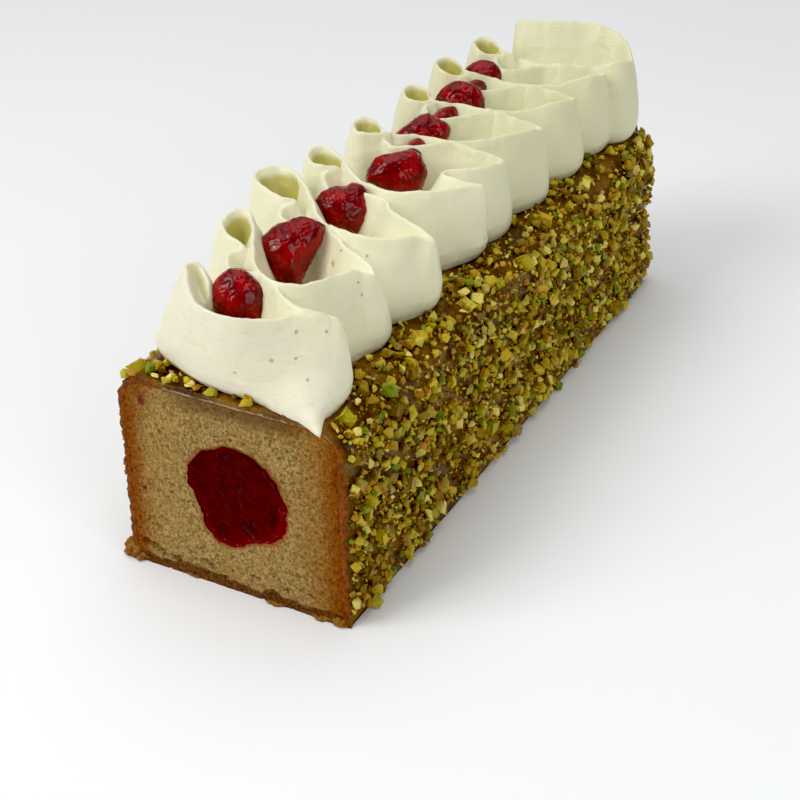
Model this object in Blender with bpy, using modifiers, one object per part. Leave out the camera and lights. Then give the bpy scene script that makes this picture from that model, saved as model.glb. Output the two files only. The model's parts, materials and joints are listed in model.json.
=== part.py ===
# Glazed loaf cake with one end sliced off, a raspberry core, chopped nuts and a piped cream ribbon

import math
import random

import bmesh
import bpy
import numpy as np
from mathutils import Matrix, Vector, bvhtree

mm = 0.001

# Loaf: outer size with its glaze
loaf_width = 76.0 * mm
loaf_length = 238.7 * mm
loaf_height = 62.8 * mm
top_edge_radius = 9.0 * mm
glaze_thickness = 2.0 * mm
touch_gap = 0.3 * mm

# The cut leans back towards the top and runs a little askew
cut_lean = 4.2 * mm
cut_skew = 2.5 * mm

# Raspberry core: section radius with its harmonics as (order, amplitude, phase)
core_centre_x = 2.1 * mm
core_centre_z = 32.0 * mm
core_radius = 16.0 * mm
core_harmonics = ((3, 0.9 * mm, 0.33), (4, 1.0 * mm, -1.64), (5, 0.45 * mm, 2.38))
core_end_cover = 12.0 * mm

# Chopped nuts fused to the glaze
nut_count = 212
nut_largest = 2.7 * mm
nut_smallest = 1.2 * mm
nut_bed_depth = 1.0 * mm

# Cream ribbon: full width of the wall from its foot to its lip, at shares of its height
wall_shares = (0.0, 0.14, 0.2, 0.28, 0.42, 0.62, 0.78, 0.9, 1.0)
wall_widths = (11.0, 14.0, 16.8, 17.8, 15.9, 11.4, 7.4, 4.0, 1.6)
cream_root = 6.0 * mm
cream_voxel = 0.7 * mm
cream_triangles = 3950

# Cream filling between the folds, below their pockets
bar_width = 38.0 * mm
bar_rise = 12.0 * mm
bar_ends = (22.0 * mm, 222.0 * mm)

# Lip of the nearer folds in millimetres: across, along and above the loaf
near_lip = (
    (-10, 17, 24), (-12, 20, 27), (-16, 23, 30.5), (-18.5, 20.5, 31), (-15, 15, 30.4), (-9, 8, 29.6),
    (-3, 4.5, 28.4), (4, 4, 27.5), (10, 6.5, 26.7), (15, 10.8, 25.8), (18.5, 14.6, 25.2), (21.5, 18, 24.6),
    (25, 21.4, 23.2), (28, 23.6, 21),
    # back to the second loop
    (25, 23.6, 22.6), (21, 20.8, 24.5), (18, 19.8, 25.3), (13.5, 21, 26), (8, 24.5, 26.6), (3, 28, 27), (-3, 29, 27.4),
    (-9, 28, 27.6), (-12.5, 31, 28), (-14, 35.5, 28.6), (-11.5, 38.5, 29.2), (-14, 39.5, 30.2),
    (-20, 42, 31), (-24, 46.5, 31.6), (-25, 52, 32), (-23, 55.5, 32), (-19.5, 54.5, 31.4), (-16, 50, 30.5),
    (-11.5, 42.5, 29.5), (-7, 36, 28.5), (-1, 29.8, 28), (5, 27.2, 27.5), (11, 27.8, 27), (15, 33, 26.3),
    (17.5, 41, 25.3), (20, 47, 24.3), (23.5, 50, 22),
    # third loop, the widest
    (19.5, 53, 24), (12, 56, 25.4), (5, 61, 26.4), (-3, 63.5, 27.1), (-10, 61.5, 27.6), (-14, 62.5, 28.2),
    (-16.5, 67, 28.8), (-14.5, 71, 29.6), (-18, 69.5, 30.8), (-24, 71, 31.8), (-30, 74, 32.3), (-33, 80, 32.9),
    (-29.5, 84.5, 33.1), (-23, 85, 32), (-17, 81, 30.2), (-11, 75, 29.2), (-5, 68, 28.1), (1, 64.2, 27.5),
    (9, 62.5, 27), (16, 63.5, 26.4), (21, 67.5, 25.7), (25, 73, 24.4), (29.5, 75.5, 22.5),
    # fourth
    (25, 77.5, 24.5), (18, 79, 26), (12, 82.5, 26.3), (7, 87.5, 26.7), (1, 88.5, 27.2), (-5, 88.5, 27.5),
    (-11, 86, 27.9), (-14.5, 88.5, 28.3), (-17.5, 94, 28.8), (-15.5, 98.5, 29.5), (-19, 95.8, 30.6),
    (-23, 95.5, 31.2), (-26.5, 99, 31.7), (-27, 103.5, 32.1), (-24, 106, 32.3), (-19, 104.5, 31.3),
    (-14, 101, 30), (-10, 97.5, 29), (-5, 94.8, 27.9), (2, 93.2, 27.2), (8, 94, 26.8), (14, 98, 26.3),
    (19, 104, 25.6), (23, 109.5, 24.9), (27, 115, 23.4),
    # a short fold on the right only
    (24, 113.6, 24.4), (19.5, 111.8, 25.4), (14, 112.2, 26.2), (14, 115.6, 26.3), (19, 119.5, 25.8), (23, 126, 25),
    (24.5, 134, 23.6),
)

# Farther folds: left loop (x, y, rise), size of the curl beside it, crest of the front leg, right fold (x, y, rise)
far_folds = (
    ((-25, 130, 32), 0.3, (6, 137), (26, 161, 25)),
    ((-24, 163, 32), 0.8, (5, 166), (27, 187, 26)),
    ((-25, 190, 33), 0.8, (5, 193), (28, 211, 27)),
    ((-22, 214, 33), 0.7, (6, 214), (33, 226, 28)),
)
ribbon_end = ((25, 236, 33), (12, 237, 36), (-4, 234, 36), (-16, 233, 35))

# Middle of the foot below the front leg (x, y), and the foot of the right folds as (y, share of the lip's x)
front_foot = ((-33, 31), (-26, 27.5), (-18, 25), (-8, 21.5), (0, 19.5), (8, 20), (14, 15), (20, 9.5), (25, 6.5))
right_foot = ((20, 0.8), (48, 0.76), (75, 0.66), (115, 0.56), (135, 0.72), (230, 0.75))
wall_step = 1.6
foot_softness = 5.0
wall_softness = 2.4

# The direction from which the outlines of the jam drops are drawn
front_turn = math.radians(29.577)
front_rise = math.radians(31.115)
front_roll = math.radians(-3.02)

# Jam drops in millimetres: centre (x, y) and height above the loaf, depth, outline (across, up)
jam_drops = (
    ((-6, 26, 21.4), 8.0, ((-1.8, 8.2), (2.4, 7.4), (6.5, 3.8), (8, 0.7), (7.4, -7), (5.2, -8.4), (-1.4, -7.6),
                           (-5.2, -6.2), (-7.9, -1.4), (-7.9, 2.9), (-5, 6.8))),
    ((-7.5, 55.5, 21), 8.6, ((3.6, 10.6), (6.8, 9.9), (10.2, 7.8), (9.4, 2.9), (6.5, -1.9), (4.2, -7.4),
                             (2.3, -11.5), (-1.6, -9.4), (-9, -4.7), (-10.8, -2.6), (-9.7, 2.3), (-5.8, 6.6),
                             (-1.6, 8.6))),
    ((-8, 87, 21.2), 8.0, ((3.8, 8.4), (7.3, 6.5), (9, 0.8), (9, -1.5), (5.4, -8.7), (3.3, -7.7), (-3.5, -5.4),
                           (-9, -1.9), (-9.2, 0.8), (-6.5, 4.8), (-1.9, 7), (1.2, 7.3))),
    ((-5.2, 117, 22), 7.8, ((4.6, 7), (0, 6.2), (-5.2, 5.2), (-7.4, 3.4), (-9.9, -2), (-8.5, -4), (-4.4, -6),
                            (0.4, -7), (6.9, -6.4), (9, -3.4), (10.2, 0), (8.7, 3.4), (7.6, 5.8))),
    ((-11.4, 147, 22), 8.4, ((-9.6, -1.7), (-8.1, -4), (-5.5, -6.4), (0.4, -8.3), (5.7, -6.2), (8.3, -2.1),
                             (9.8, 1.3), (9, 4), (4.7, 6.4), (2, 7.6), (-2, 6.2), (-5.5, 3.6), (-8.4, 1))),
    ((-12, 176, 23), 8.6, ((-9, -1), (-7, -5.5), (-1, -7.5), (5, -6.5), (9, -2), (9, 3), (5, 7), (-1, 8), (-6, 5))),
    ((-15, 201, 23), 7.4, ((-8, 0), (-5, -5.5), (1, -6.8), (6, -4.5), (8, 1), (5, 5.5), (-1, 6.8), (-5.5, 4.5))),
)
first_joined_drop = 3
drop_boxiness = 0.82
neck_radius = 3.6 * mm
neck_shift = (2.5 * mm, 0, 2.5 * mm)
jam_voxel = 0.6 * mm
drop_triangles = 230
chain_triangles = 760


def clear_scene():
    for item in list(bpy.data.objects):
        bpy.data.objects.remove(item, do_unlink=True)
    for group in list(bpy.data.collections):
        bpy.data.collections.remove(group)


def new_collection(name, hidden=False):
    group = bpy.data.collections.new(name)
    bpy.context.scene.collection.children.link(group)
    group.hide_render = hidden
    return group


def make_material(name, color, roughness):
    material = bpy.data.materials.new(name)
    material.use_nodes = True
    shader = material.node_tree.nodes["Principled BSDF"]
    shader.inputs["Base Color"].default_value = (*color, 1.0)
    shader.inputs["Roughness"].default_value = roughness
    shader.inputs["Metallic"].default_value = 0.0
    return material


def make_object(name, mesh, group, material=None, smooth=True):
    item = bpy.data.objects.new(name, mesh)
    group.objects.link(item)
    if material:
        mesh.materials.append(material)
    for face in mesh.polygons:
        face.use_smooth = smooth
    return item


def make_cutter(name, mesh, group):
    item = make_object(name, mesh, group, smooth=False)
    item.display_type = "WIRE"
    item.hide_render = True
    return item


def bake(item):
    """Replace an object's mesh by the mesh its modifiers give."""
    graph = bpy.context.evaluated_depsgraph_get()
    mesh = bpy.data.meshes.new_from_object(item.evaluated_get(graph))
    item.modifiers.clear()
    item.data = mesh
    return item


def add_boolean(item, operation, other):
    modifier = item.modifiers.new(operation.lower(), "BOOLEAN")
    modifier.operation = operation
    modifier.solver = "EXACT"
    if isinstance(other, bpy.types.Collection):
        modifier.operand_type = "COLLECTION"
        modifier.collection = other
    else:
        modifier.object = other
    return modifier


# Loaf blocks

def loaf_block(name, inset, front, floor, radius, segments):
    """A loaf-shaped block, its four long and far edges rounded, its front following the slanted cut."""
    mesh = bpy.data.meshes.new(name)
    build = bmesh.new()
    bmesh.ops.create_cube(build, size=1.0)
    half = loaf_width / 2 - inset
    back = loaf_length - inset
    top = loaf_height - inset
    for vertex in build.verts:
        vertex.co.x = math.copysign(half, vertex.co.x)
        vertex.co.y = back if vertex.co.y > 0 else front
        vertex.co.z = top if vertex.co.z > 0 else floor
    rounded = []
    for edge in build.edges:
        middle = (edge.verts[0].co + edge.verts[1].co) / 2
        top_side = middle.z > top - mm and abs(middle.x) > half - mm
        far_edge = middle.y > back - mm and middle.z > floor + mm
        if top_side or far_edge:
            rounded.append(edge)
    bmesh.ops.bevel(build, geom=rounded, offset=radius, segments=segments, profile=0.5, affect="EDGES")
    for vertex in build.verts:
        if vertex.co.y < front + mm:
            vertex.co.y += cut_lean * vertex.co.z / loaf_height
            vertex.co.y += cut_skew * (0.5 - vertex.co.x / loaf_width)
    build.to_mesh(mesh)
    build.free()
    return mesh


# Raspberry core

def core_mesh(name, grow, front_extra):
    """A rounded, uneven rod along the loaf, closed short of the far end."""
    mesh = bpy.data.meshes.new(name)
    build = bmesh.new()
    around = 22
    along = 5
    far = loaf_length - core_end_cover
    bmesh.ops.create_grid(build, x_segments=around, y_segments=along + 2, size=0.5)
    rings = along + 2
    for vertex in build.verts:
        angle = (vertex.co.x + 0.5) * 2 * math.pi
        ring = round((vertex.co.y + 0.5) * rings)
        share = min(ring / along, 1.0)
        radius = core_radius + grow
        for order, amplitude, phase in core_harmonics:
            radius += amplitude * math.cos(order * angle - phase + 0.5 * math.sin(4.0 * share + order) * share)
        radius *= 1.0 + 0.05 * math.sin(7.0 * share) * share
        if ring > along:
            radius *= 0.72 if ring == along + 1 else 0.3
        depth = share * (far - 6 * mm) + (3.5 * mm if ring == along + 1 else 0.0)
        depth += (5.5 * mm + grow if ring == along + 2 else 0.0)
        vertex.co = Vector((core_centre_x + radius * math.cos(angle), depth,
                            core_centre_z + radius * math.sin(angle)))
        if ring == 0:
            vertex.co.y = cut_lean * vertex.co.z / loaf_height
            vertex.co.y += cut_skew * (0.5 - vertex.co.x / loaf_width) - front_extra
    bmesh.ops.remove_doubles(build, verts=build.verts, dist=0.01 * mm)
    bmesh.ops.holes_fill(build, edges=build.edges, sides=0)
    bmesh.ops.triangulate(build, faces=[face for face in build.faces if len(face.verts) > 4])
    bmesh.ops.recalc_face_normals(build, faces=build.faces)
    build.to_mesh(mesh)
    build.free()
    return mesh


# Cream ribbon

def lip_guides():
    """Guide points of the lip in millimetres (x, y, rise)."""
    lip = list(near_lip)
    px, py, pz = near_lip[-1]
    for (lx, ly, rise), curl, (cx, cy), (rx, ry, fold_rise) in far_folds:
        lip += [
            (px - 4.5, py + 0.5, pz + 1.4), (px - 10.5, py, pz + 2.6), (0.25 * px, py + 0.4 * (ly - py) + 3.5, 26.8),
            (lx + 17, ly - 1 - 14 * curl, 27.4), (lx + 12.5, ly - 0.5 - 13 * curl, 28),
            (lx + 9.5, ly - 8 * curl, 28.8), (lx + 11.5, ly + 0.5 - 4.5 * curl, 29.4),
            (lx + 6.5, ly - 4.5 - 3 * curl, 30.6), (lx + 2, ly - 6.5, rise - 0.9), (lx - 1.5, ly - 1, rise - 0.3),
            (lx, ly + 3, rise), (lx + 4, ly + 3, rise - 0.8), (lx + 9, ly - 1, rise - 2.2),
            (lx + 14, 0.6 * (ly - 3) + 0.4 * cy, rise - 3.4), (0.4 * lx + 0.6 * cx, 0.25 * ly + 0.75 * cy, 27.6),
            (cx, cy, 26.8), (cx + 0.5 * (rx - cx), cy + 0.3 * (ry - cy), 26.3), (rx - 3, ry - 7, fold_rise + 1.6),
            (rx, ry, fold_rise),
        ]
        px, py, pz = rx, ry, fold_rise
    return lip + list(ribbon_end)


def spline(points, steps):
    """Catmull-Rom curve through the points."""
    points = [Vector(point) for point in points]
    points = [2 * points[0] - points[1]] + points + [2 * points[-1] - points[-2]]
    curve = []
    for i in range(1, len(points) - 2):
        a, b, c, d = points[i - 1:i + 3]
        for j in range(steps):
            t = j / steps
            curve.append(0.5 * (2 * b + (c - a) * t + (2 * a - 5 * b + 4 * c - d) * t ** 2
                                + (3 * b - a - 3 * c + d) * t ** 3))
    curve.append(points[-2])
    return np.array([tuple(point) for point in curve])


def walked_evenly(curve, spacing):
    """The curve as points the same distance apart."""
    walked = np.concatenate(([0], np.cumsum(np.linalg.norm(np.diff(curve, axis=0), axis=1))))
    spots = np.linspace(0, walked[-1], round(walked[-1] / spacing))
    return np.column_stack([np.interp(spots, walked, curve[:, axis]) for axis in range(3)])


def softened(line, reach):
    """The line evened out over so many millimetres, its ends held."""
    span = max(1, round(3 * reach / wall_step))
    weights = np.exp(-0.5 * (np.arange(-span, span + 1) * wall_step / reach) ** 2)
    weights /= weights.sum()
    before = 2 * line[:1] - line[span:0:-1]
    after = 2 * line[-1:] - line[-2:-span - 2:-1]
    padded = np.concatenate((before, line, after))
    return np.column_stack([np.convolve(padded[:, axis], weights, "valid") for axis in range(3)])


def foot_line(lip):
    """Middle of the wall's foot below each point of the lip."""
    x, y = lip[:, 0], lip[:, 1]
    across = np.where(x > 0, x * np.interp(y, *np.array(right_foot).T), np.maximum(0.98 * x, -25))
    along = y - 9 * np.clip(1 - (ribbon_end[-1][1] - y) / 12, 0, 1)
    front = np.array(front_foot)
    turning = int(np.argmax(x > 27)) + 2
    wide = np.interp(x[:turning], (-18, 28), (front[0, 0], front[-1, 0]))
    across[:turning] = wide
    along[:turning] = np.interp(wide, front[:, 0], front[:, 1])
    return np.column_stack((across, along, np.zeros(len(lip))))


def ribbon_mesh(name, steps):
    """The piped ribbon as a closed wall, broad at the foot and thin at the lip."""
    lip = walked_evenly(spline(lip_guides(), steps), wall_step)
    foot = softened(foot_line(lip), foot_softness)
    root = cream_root / mm
    levels = []
    for share, width in zip(wall_shares, wall_widths):
        line = foot + (lip - foot) * share ** 0.8
        line[:, 2] = -root + share * (lip[:, 2] + root)
        levels.append((softened(line, wall_softness * (1 - share) ** 0.7 + 0.05), width))
    count = len(lip)
    from_end = np.minimum(np.arange(count), np.arange(count)[::-1]) + 0.5
    closing = np.minimum(1, from_end * wall_step / 5)
    closing = np.sqrt(1 - (1 - closing) ** 2)
    left, right = [], []
    for line, width in levels:
        ahead = np.gradient(line, axis=0)
        side = np.column_stack((-ahead[:, 1], ahead[:, 0], np.zeros(count)))
        side *= (width / 2 * closing / np.maximum(np.linalg.norm(side, axis=1), 1e-6))[:, None]
        left.append(line + side)
        right.append(line - side)
    top = (left[-1] + right[-1]) / 2 + np.array((0, 0, 0.5))
    rings = np.stack(left + [top] + right[::-1], axis=1) * mm + np.array((0, 0, loaf_height))
    size = rings.shape[1]
    faces = [tuple(range(size)), tuple(range((count - 1) * size, count * size))]
    for i in range(count - 1):
        for k in range(size):
            n = (k + 1) % size
            faces.append((i * size + k, i * size + n, (i + 1) * size + n, (i + 1) * size + k))
    mesh = bpy.data.meshes.new(name)
    mesh.from_pydata(rings.reshape(-1, 3).tolist(), [], faces)
    build = bmesh.new()
    build.from_mesh(mesh)
    bmesh.ops.recalc_face_normals(build, faces=build.faces)
    build.to_mesh(mesh)
    build.free()
    return mesh


def bar_mesh(name):
    """The filling between the folds: a low rounded bar."""
    build = bmesh.new()
    bmesh.ops.create_cube(build, size=1.0)
    near, far = bar_ends
    for vertex in build.verts:
        vertex.co.x = vertex.co.x * bar_width - 1 * mm
        vertex.co.y = far if vertex.co.y > 0 else near
        vertex.co.z = loaf_height + (bar_rise if vertex.co.z > 0 else -cream_root)
    bmesh.ops.bevel(build, geom=list(build.edges), offset=4 * mm, segments=3, profile=0.5, affect="EDGES")
    mesh = bpy.data.meshes.new(name)
    build.to_mesh(mesh)
    build.free()
    return mesh


# Jam drops

def front_axes():
    """Right, up and toward the viewer for the outlines of the drops."""
    back = Vector((math.sin(front_turn) * math.cos(front_rise), -math.cos(front_turn) * math.cos(front_rise),
                   math.sin(front_rise)))
    right = (-back).cross(Vector((0, 0, 1))).normalized()
    up = right.cross(-back)
    return (math.cos(front_roll) * right + math.sin(front_roll) * up,
            -math.sin(front_roll) * right + math.cos(front_roll) * up, back)


def outline_reach(outline, way):
    """Distance from the middle to the outline in the direction of the angle."""
    closed = list(outline[-2:]) + list(outline) + list(outline[:3])
    curve = spline([(x, y, 0) for x, y in closed], 12)
    angles = np.unwrap(np.arctan2(curve[:, 1], curve[:, 0]))
    order = np.argsort(angles)
    turned = angles.min() + (way - angles.min()) % (2 * math.pi)
    return np.interp(turned, angles[order], np.hypot(curve[order, 0], curve[order, 1]))


def drop_mesh(name, index):
    """A rounded, angular drop with the outline that shows from the front."""
    (x, y, rise), depth, outline = jam_drops[index]
    right, up, toward = front_axes()
    middle = Vector((x * mm, y * mm, loaf_height + rise * mm))
    build = bmesh.new()
    bmesh.ops.create_icosphere(build, subdivisions=4, radius=1.0)
    for vertex in build.verts:
        way = vertex.co.normalized()
        flat = max(math.hypot(way.x, way.y), 0.0001)
        reach = outline_reach(outline, math.atan2(way.y, way.x)) * flat ** (drop_boxiness - 1)
        ahead = math.copysign(abs(way.z) ** drop_boxiness, way.z) * depth
        point = right * (way.x * reach) + up * (way.y * reach) + toward * ahead
        vertex.co = middle + point * mm
    mesh = bpy.data.meshes.new(name)
    build.to_mesh(mesh)
    build.free()
    return mesh


def neck_mesh(name, index):
    """A thin neck of jam from one drop to the next."""
    start = Vector(jam_drops[index][0]) * mm
    finish = Vector(jam_drops[index + 1][0]) * mm
    between = finish - start
    build = bmesh.new()
    bmesh.ops.create_uvsphere(build, u_segments=16, v_segments=12, radius=1.0)
    turn = between.to_track_quat("Z", "Y").to_matrix()
    for vertex in build.verts:
        point = Vector((vertex.co.x * neck_radius, vertex.co.y * neck_radius, vertex.co.z * between.length * 0.5))
        vertex.co = turn @ point + (start + finish) / 2 + Vector(neck_shift) + Vector((0, 0, loaf_height))
    mesh = bpy.data.meshes.new(name)
    build.to_mesh(mesh)
    build.free()
    return mesh


def joined(name, meshes):
    build = bmesh.new()
    for mesh in meshes:
        build.from_mesh(mesh)
    mesh = bpy.data.meshes.new(name)
    build.to_mesh(mesh)
    build.free()
    return mesh


def fuse(item, voxel, triangles):
    """Turn overlapping closed shapes into one even skin of about so many triangles."""
    remesh = item.modifiers.new("fuse", "REMESH")
    remesh.mode = "VOXEL"
    remesh.voxel_size = voxel
    remesh.use_smooth_shade = True
    bake(item)
    thin = item.modifiers.new("thin out", "DECIMATE")
    thin.ratio = min(1.0, triangles / (2 * len(item.data.polygons)))
    thin.use_collapse_triangulate = True
    return bake(item)


# Chopped nuts

def surface_spots(chance, count):
    """Candidate spots on the glaze as (point, outward direction)."""
    half = loaf_width / 2
    for _ in range(count):
        face = chance.random()
        if face < 0.36:
            side = 1 if chance.random() < 0.5 else -1
            point = Vector((side * half, chance.uniform(8 * mm, loaf_length - 5 * mm),
                            chance.uniform(3 * mm, loaf_height - top_edge_radius)))
            yield point, Vector((side, 0, 0))
        elif face < 0.62:
            side = 1 if chance.random() < 0.5 else -1
            angle = chance.uniform(0.1, 1.4)
            inner = half - top_edge_radius
            outward = Vector((side * math.cos(angle), 0, math.sin(angle)))
            centre = Vector((side * inner, chance.uniform(9 * mm, loaf_length - 9 * mm),
                             loaf_height - top_edge_radius))
            yield centre + outward * top_edge_radius, outward
        elif face < 0.85:
            point = Vector((chance.uniform(-1, 1) * (half - top_edge_radius),
                            chance.uniform(7 * mm, loaf_length - 9 * mm), loaf_height))
            yield point, Vector((0, 0, 1))
        else:
            point = Vector((chance.uniform(-1, 1) * (half - 9 * mm), loaf_length,
                            chance.uniform(3 * mm, loaf_height - top_edge_radius)))
            yield point, Vector((0, 1, 0))


def nut_mesh(name, point, outward, radius, chance):
    """One chopped piece: a small angular lump bedded in the glaze."""
    build = bmesh.new()
    bmesh.ops.create_cube(build, size=1.5)
    long, flat = chance.uniform(1.0, 1.35), chance.uniform(0.6, 0.9)
    turn = outward.to_track_quat("Z", "Y").to_matrix() @ Matrix.Rotation(chance.uniform(0, 6.28), 3, "Z")
    for vertex in build.verts:
        jitter = chance.uniform(0.72, 1.18)
        shape = Vector((vertex.co.x * long, vertex.co.y * 0.8, vertex.co.z * flat)) * jitter * radius
        vertex.co = turn @ shape + point + outward * (radius * flat - nut_bed_depth)
    mesh = bpy.data.meshes.new(name)
    build.to_mesh(mesh)
    build.free()
    return mesh


def scatter_nuts(group, keep_clear):
    """Largest pieces first, each clear of the cream, the floor and the cut."""
    chance = random.Random(41)
    placed = []
    for number in range(nut_count):
        share = number / nut_count
        radius = nut_largest + (nut_smallest - nut_largest) * share ** 0.7
        best = None
        for point, outward in surface_spots(chance, 34):
            if keep_clear.find_nearest(point)[3] < 2.1 * radius:
                continue
            room = min(((point - spot).length - size for spot, size in placed), default=1.0)
            if best is None or room > best[0]:
                best = (room, point, outward)
        if best and best[0] > radius * 1.15:
            _, point, outward = best
            if point.z < radius * 1.5 + mm and outward.z < 0.5:
                point = Vector((point.x, point.y, radius * 1.5 + mm))
            placed.append((point, radius))
            name = "nut_{:03d}".format(number)
            make_cutter(name, nut_mesh(name, point, outward, radius, chance), group)
    print("nuts placed:", len(placed))


def tree_of(items):
    build = bmesh.new()
    for item in items:
        build.from_mesh(item.data)
    tree = bvhtree.BVHTree.FromBMesh(build)
    build.free()
    return tree


def centre_on_floor(items):
    """Move every mesh so that the origin is the middle of the base of the whole."""
    corners = [vertex.co for item in items for vertex in item.data.vertices]
    low = Vector([min(corner[axis] for corner in corners) for axis in range(3)])
    high = Vector([max(corner[axis] for corner in corners) for axis in range(3)])
    shift = Vector((-(low.x + high.x) / 2, -(low.y + high.y) / 2, -low.z))
    for item in items:
        item.data.transform(Matrix.Translation(shift))
    print("shift in mm:", [round(value / mm, 3) for value in shift])


def main():
    clear_scene()
    parts = new_collection("glazed_loaf_cake")
    cutters = new_collection("cutters", hidden=True)
    nuts = new_collection("nut_pieces", hidden=True)

    crumb = make_material("sponge_crumb", (0.55, 0.38, 0.17), 0.85)
    raspberry = make_material("raspberry_filling", (0.22, 0.01, 0.015), 0.35)
    nutty = make_material("nut_glaze", (0.27, 0.20, 0.045), 0.45)
    ivory = make_material("whipped_cream", (0.80, 0.76, 0.56), 0.5)
    jam = make_material("raspberry_jam", (0.20, 0.005, 0.012), 0.15)

    # Sponge with the bore for its core
    sponge = make_object("sponge", loaf_block("sponge", glaze_thickness, 0, 0,
                                              top_edge_radius - glaze_thickness, 4), parts, crumb, False)
    bore = make_cutter("core_bore", core_mesh("core_bore", touch_gap, 5 * mm), cutters)
    add_boolean(sponge, "DIFFERENCE", bore)
    bake(sponge)
    core = make_object("raspberry_core", core_mesh("raspberry_core", 0, 0), parts, raspberry)

    # Cream ribbon, cut to sit on the glaze and to hold the jam
    cream = make_object("cream", joined("cream", [ribbon_mesh("ribbon", 8), bar_mesh("bar")]), parts, ivory)
    fuse(cream, cream_voxel, cream_triangles)
    bed = make_cutter("cream_bed", loaf_block("cream_bed", -touch_gap, -20 * mm, -20 * mm,
                                              top_edge_radius + touch_gap, 6), cutters)
    add_boolean(cream, "DIFFERENCE", bed)
    drops = []
    for index in range(first_joined_drop):
        name = "jam_drop_{}".format(index + 1)
        drop = make_object(name, drop_mesh(name, index), parts, jam)
        fuse(drop, jam_voxel, drop_triangles)
        drops.append(drop)
    chain_parts = [drop_mesh("chain", index) for index in range(first_joined_drop, len(jam_drops))]
    chain_parts += [neck_mesh("neck", index) for index in range(first_joined_drop, len(jam_drops) - 1)]
    chain = make_object("jam_chain", joined("jam_chain", chain_parts), parts, jam)
    fuse(chain, jam_voxel, chain_triangles)
    drops.append(chain)
    for drop in drops:
        swollen = make_cutter(drop.name + "_room", drop.data.copy(), cutters)
        swollen.data.materials.clear()
        displace = swollen.modifiers.new("grow", "DISPLACE")
        displace.strength = 1.6 * touch_gap
        displace.mid_level = 0.0
        bake(swollen)
        add_boolean(cream, "DIFFERENCE", swollen)
    bake(cream)

    # Glaze shell, open at the cut and underneath, with its nuts fused on
    glaze = make_object("nut_glaze", loaf_block("nut_glaze", 0, 0, 0, top_edge_radius, 6), parts, nutty, False)
    hollow = make_cutter("glaze_hollow", loaf_block("glaze_hollow", glaze_thickness - touch_gap, -10 * mm,
                                                    -10 * mm, top_edge_radius - glaze_thickness + touch_gap, 5),
                         cutters)
    add_boolean(glaze, "DIFFERENCE", hollow)
    bake(glaze)
    scatter_nuts(nuts, tree_of([cream]))
    add_boolean(glaze, "UNION", nuts)
    bake(glaze)
    for item in list(nuts.objects) + list(cutters.objects):
        bpy.data.objects.remove(item, do_unlink=True)

    centre_on_floor(list(parts.objects))
    for item in parts.objects:
        item.data.calc_loop_triangles()
        print(item.name, "triangles:", len(item.data.loop_triangles))


main()
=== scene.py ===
# Glazed loaf cake, cut at one end: sponge with a raspberry core, chopped nuts on a brown glaze,
# one ribbon of piped cream and seven drops of jam

import json
import math
import random

import bmesh
import bpy
import numpy as np
from mathutils import Matrix, Vector, bvhtree, kdtree, noise

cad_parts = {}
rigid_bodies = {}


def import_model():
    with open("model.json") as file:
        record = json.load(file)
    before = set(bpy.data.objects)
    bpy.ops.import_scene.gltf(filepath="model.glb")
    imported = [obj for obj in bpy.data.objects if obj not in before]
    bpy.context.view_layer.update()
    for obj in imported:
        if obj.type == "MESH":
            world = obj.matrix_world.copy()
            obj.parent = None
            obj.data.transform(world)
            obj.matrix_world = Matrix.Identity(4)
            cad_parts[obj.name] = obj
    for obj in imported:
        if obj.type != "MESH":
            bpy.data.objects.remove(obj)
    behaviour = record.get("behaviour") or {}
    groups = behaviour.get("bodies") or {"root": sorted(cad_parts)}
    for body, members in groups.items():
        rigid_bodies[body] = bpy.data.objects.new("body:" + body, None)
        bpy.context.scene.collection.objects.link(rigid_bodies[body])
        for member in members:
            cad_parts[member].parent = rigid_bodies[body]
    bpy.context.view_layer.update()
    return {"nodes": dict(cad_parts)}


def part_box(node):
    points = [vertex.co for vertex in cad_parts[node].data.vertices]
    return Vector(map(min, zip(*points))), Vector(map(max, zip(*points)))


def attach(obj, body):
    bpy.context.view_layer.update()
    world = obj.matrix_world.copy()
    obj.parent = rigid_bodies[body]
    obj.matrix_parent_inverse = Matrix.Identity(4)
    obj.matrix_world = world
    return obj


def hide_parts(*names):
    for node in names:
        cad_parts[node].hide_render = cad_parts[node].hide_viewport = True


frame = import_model()

mm = 0.001

# Sizes in mm, x from the middle of the loaf, y from the cut, z from the floor
loaf = {
    "width": 76.0,
    "length": 238.7,
    "height": 62.8,
    "edgeRadius": 9.0,
    "glaze": 2.0,
    "lean": 4.2,  # the cut leans back towards the top
    "skew": 2.5,  # and runs a little askew
}

spongeLow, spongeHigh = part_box("sponge")
place = Vector(((spongeLow.x + spongeHigh.x) / 2, spongeHigh.y - (loaf["length"] - loaf["glaze"]) * mm, 0))


# Shader maths

class Signal:
    # a socket's value in an expression
    def __init__(self, finish, socket):
        self.finish = finish
        self.socket = socket

    def maths(self, operation, first, second=0.0):
        return self.finish.node("ShaderNodeMath", {"operation": operation}, {0: first, 1: second})

    def __add__(self, other):
        return self.maths("ADD", self, other)

    def __sub__(self, other):
        return self.maths("SUBTRACT", self, other)

    def __mul__(self, other):
        return self.maths("MULTIPLY", self, other)

    def __rsub__(self, other):
        return self.maths("SUBTRACT", other, self)

    __radd__ = __add__
    __rmul__ = __mul__


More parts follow.
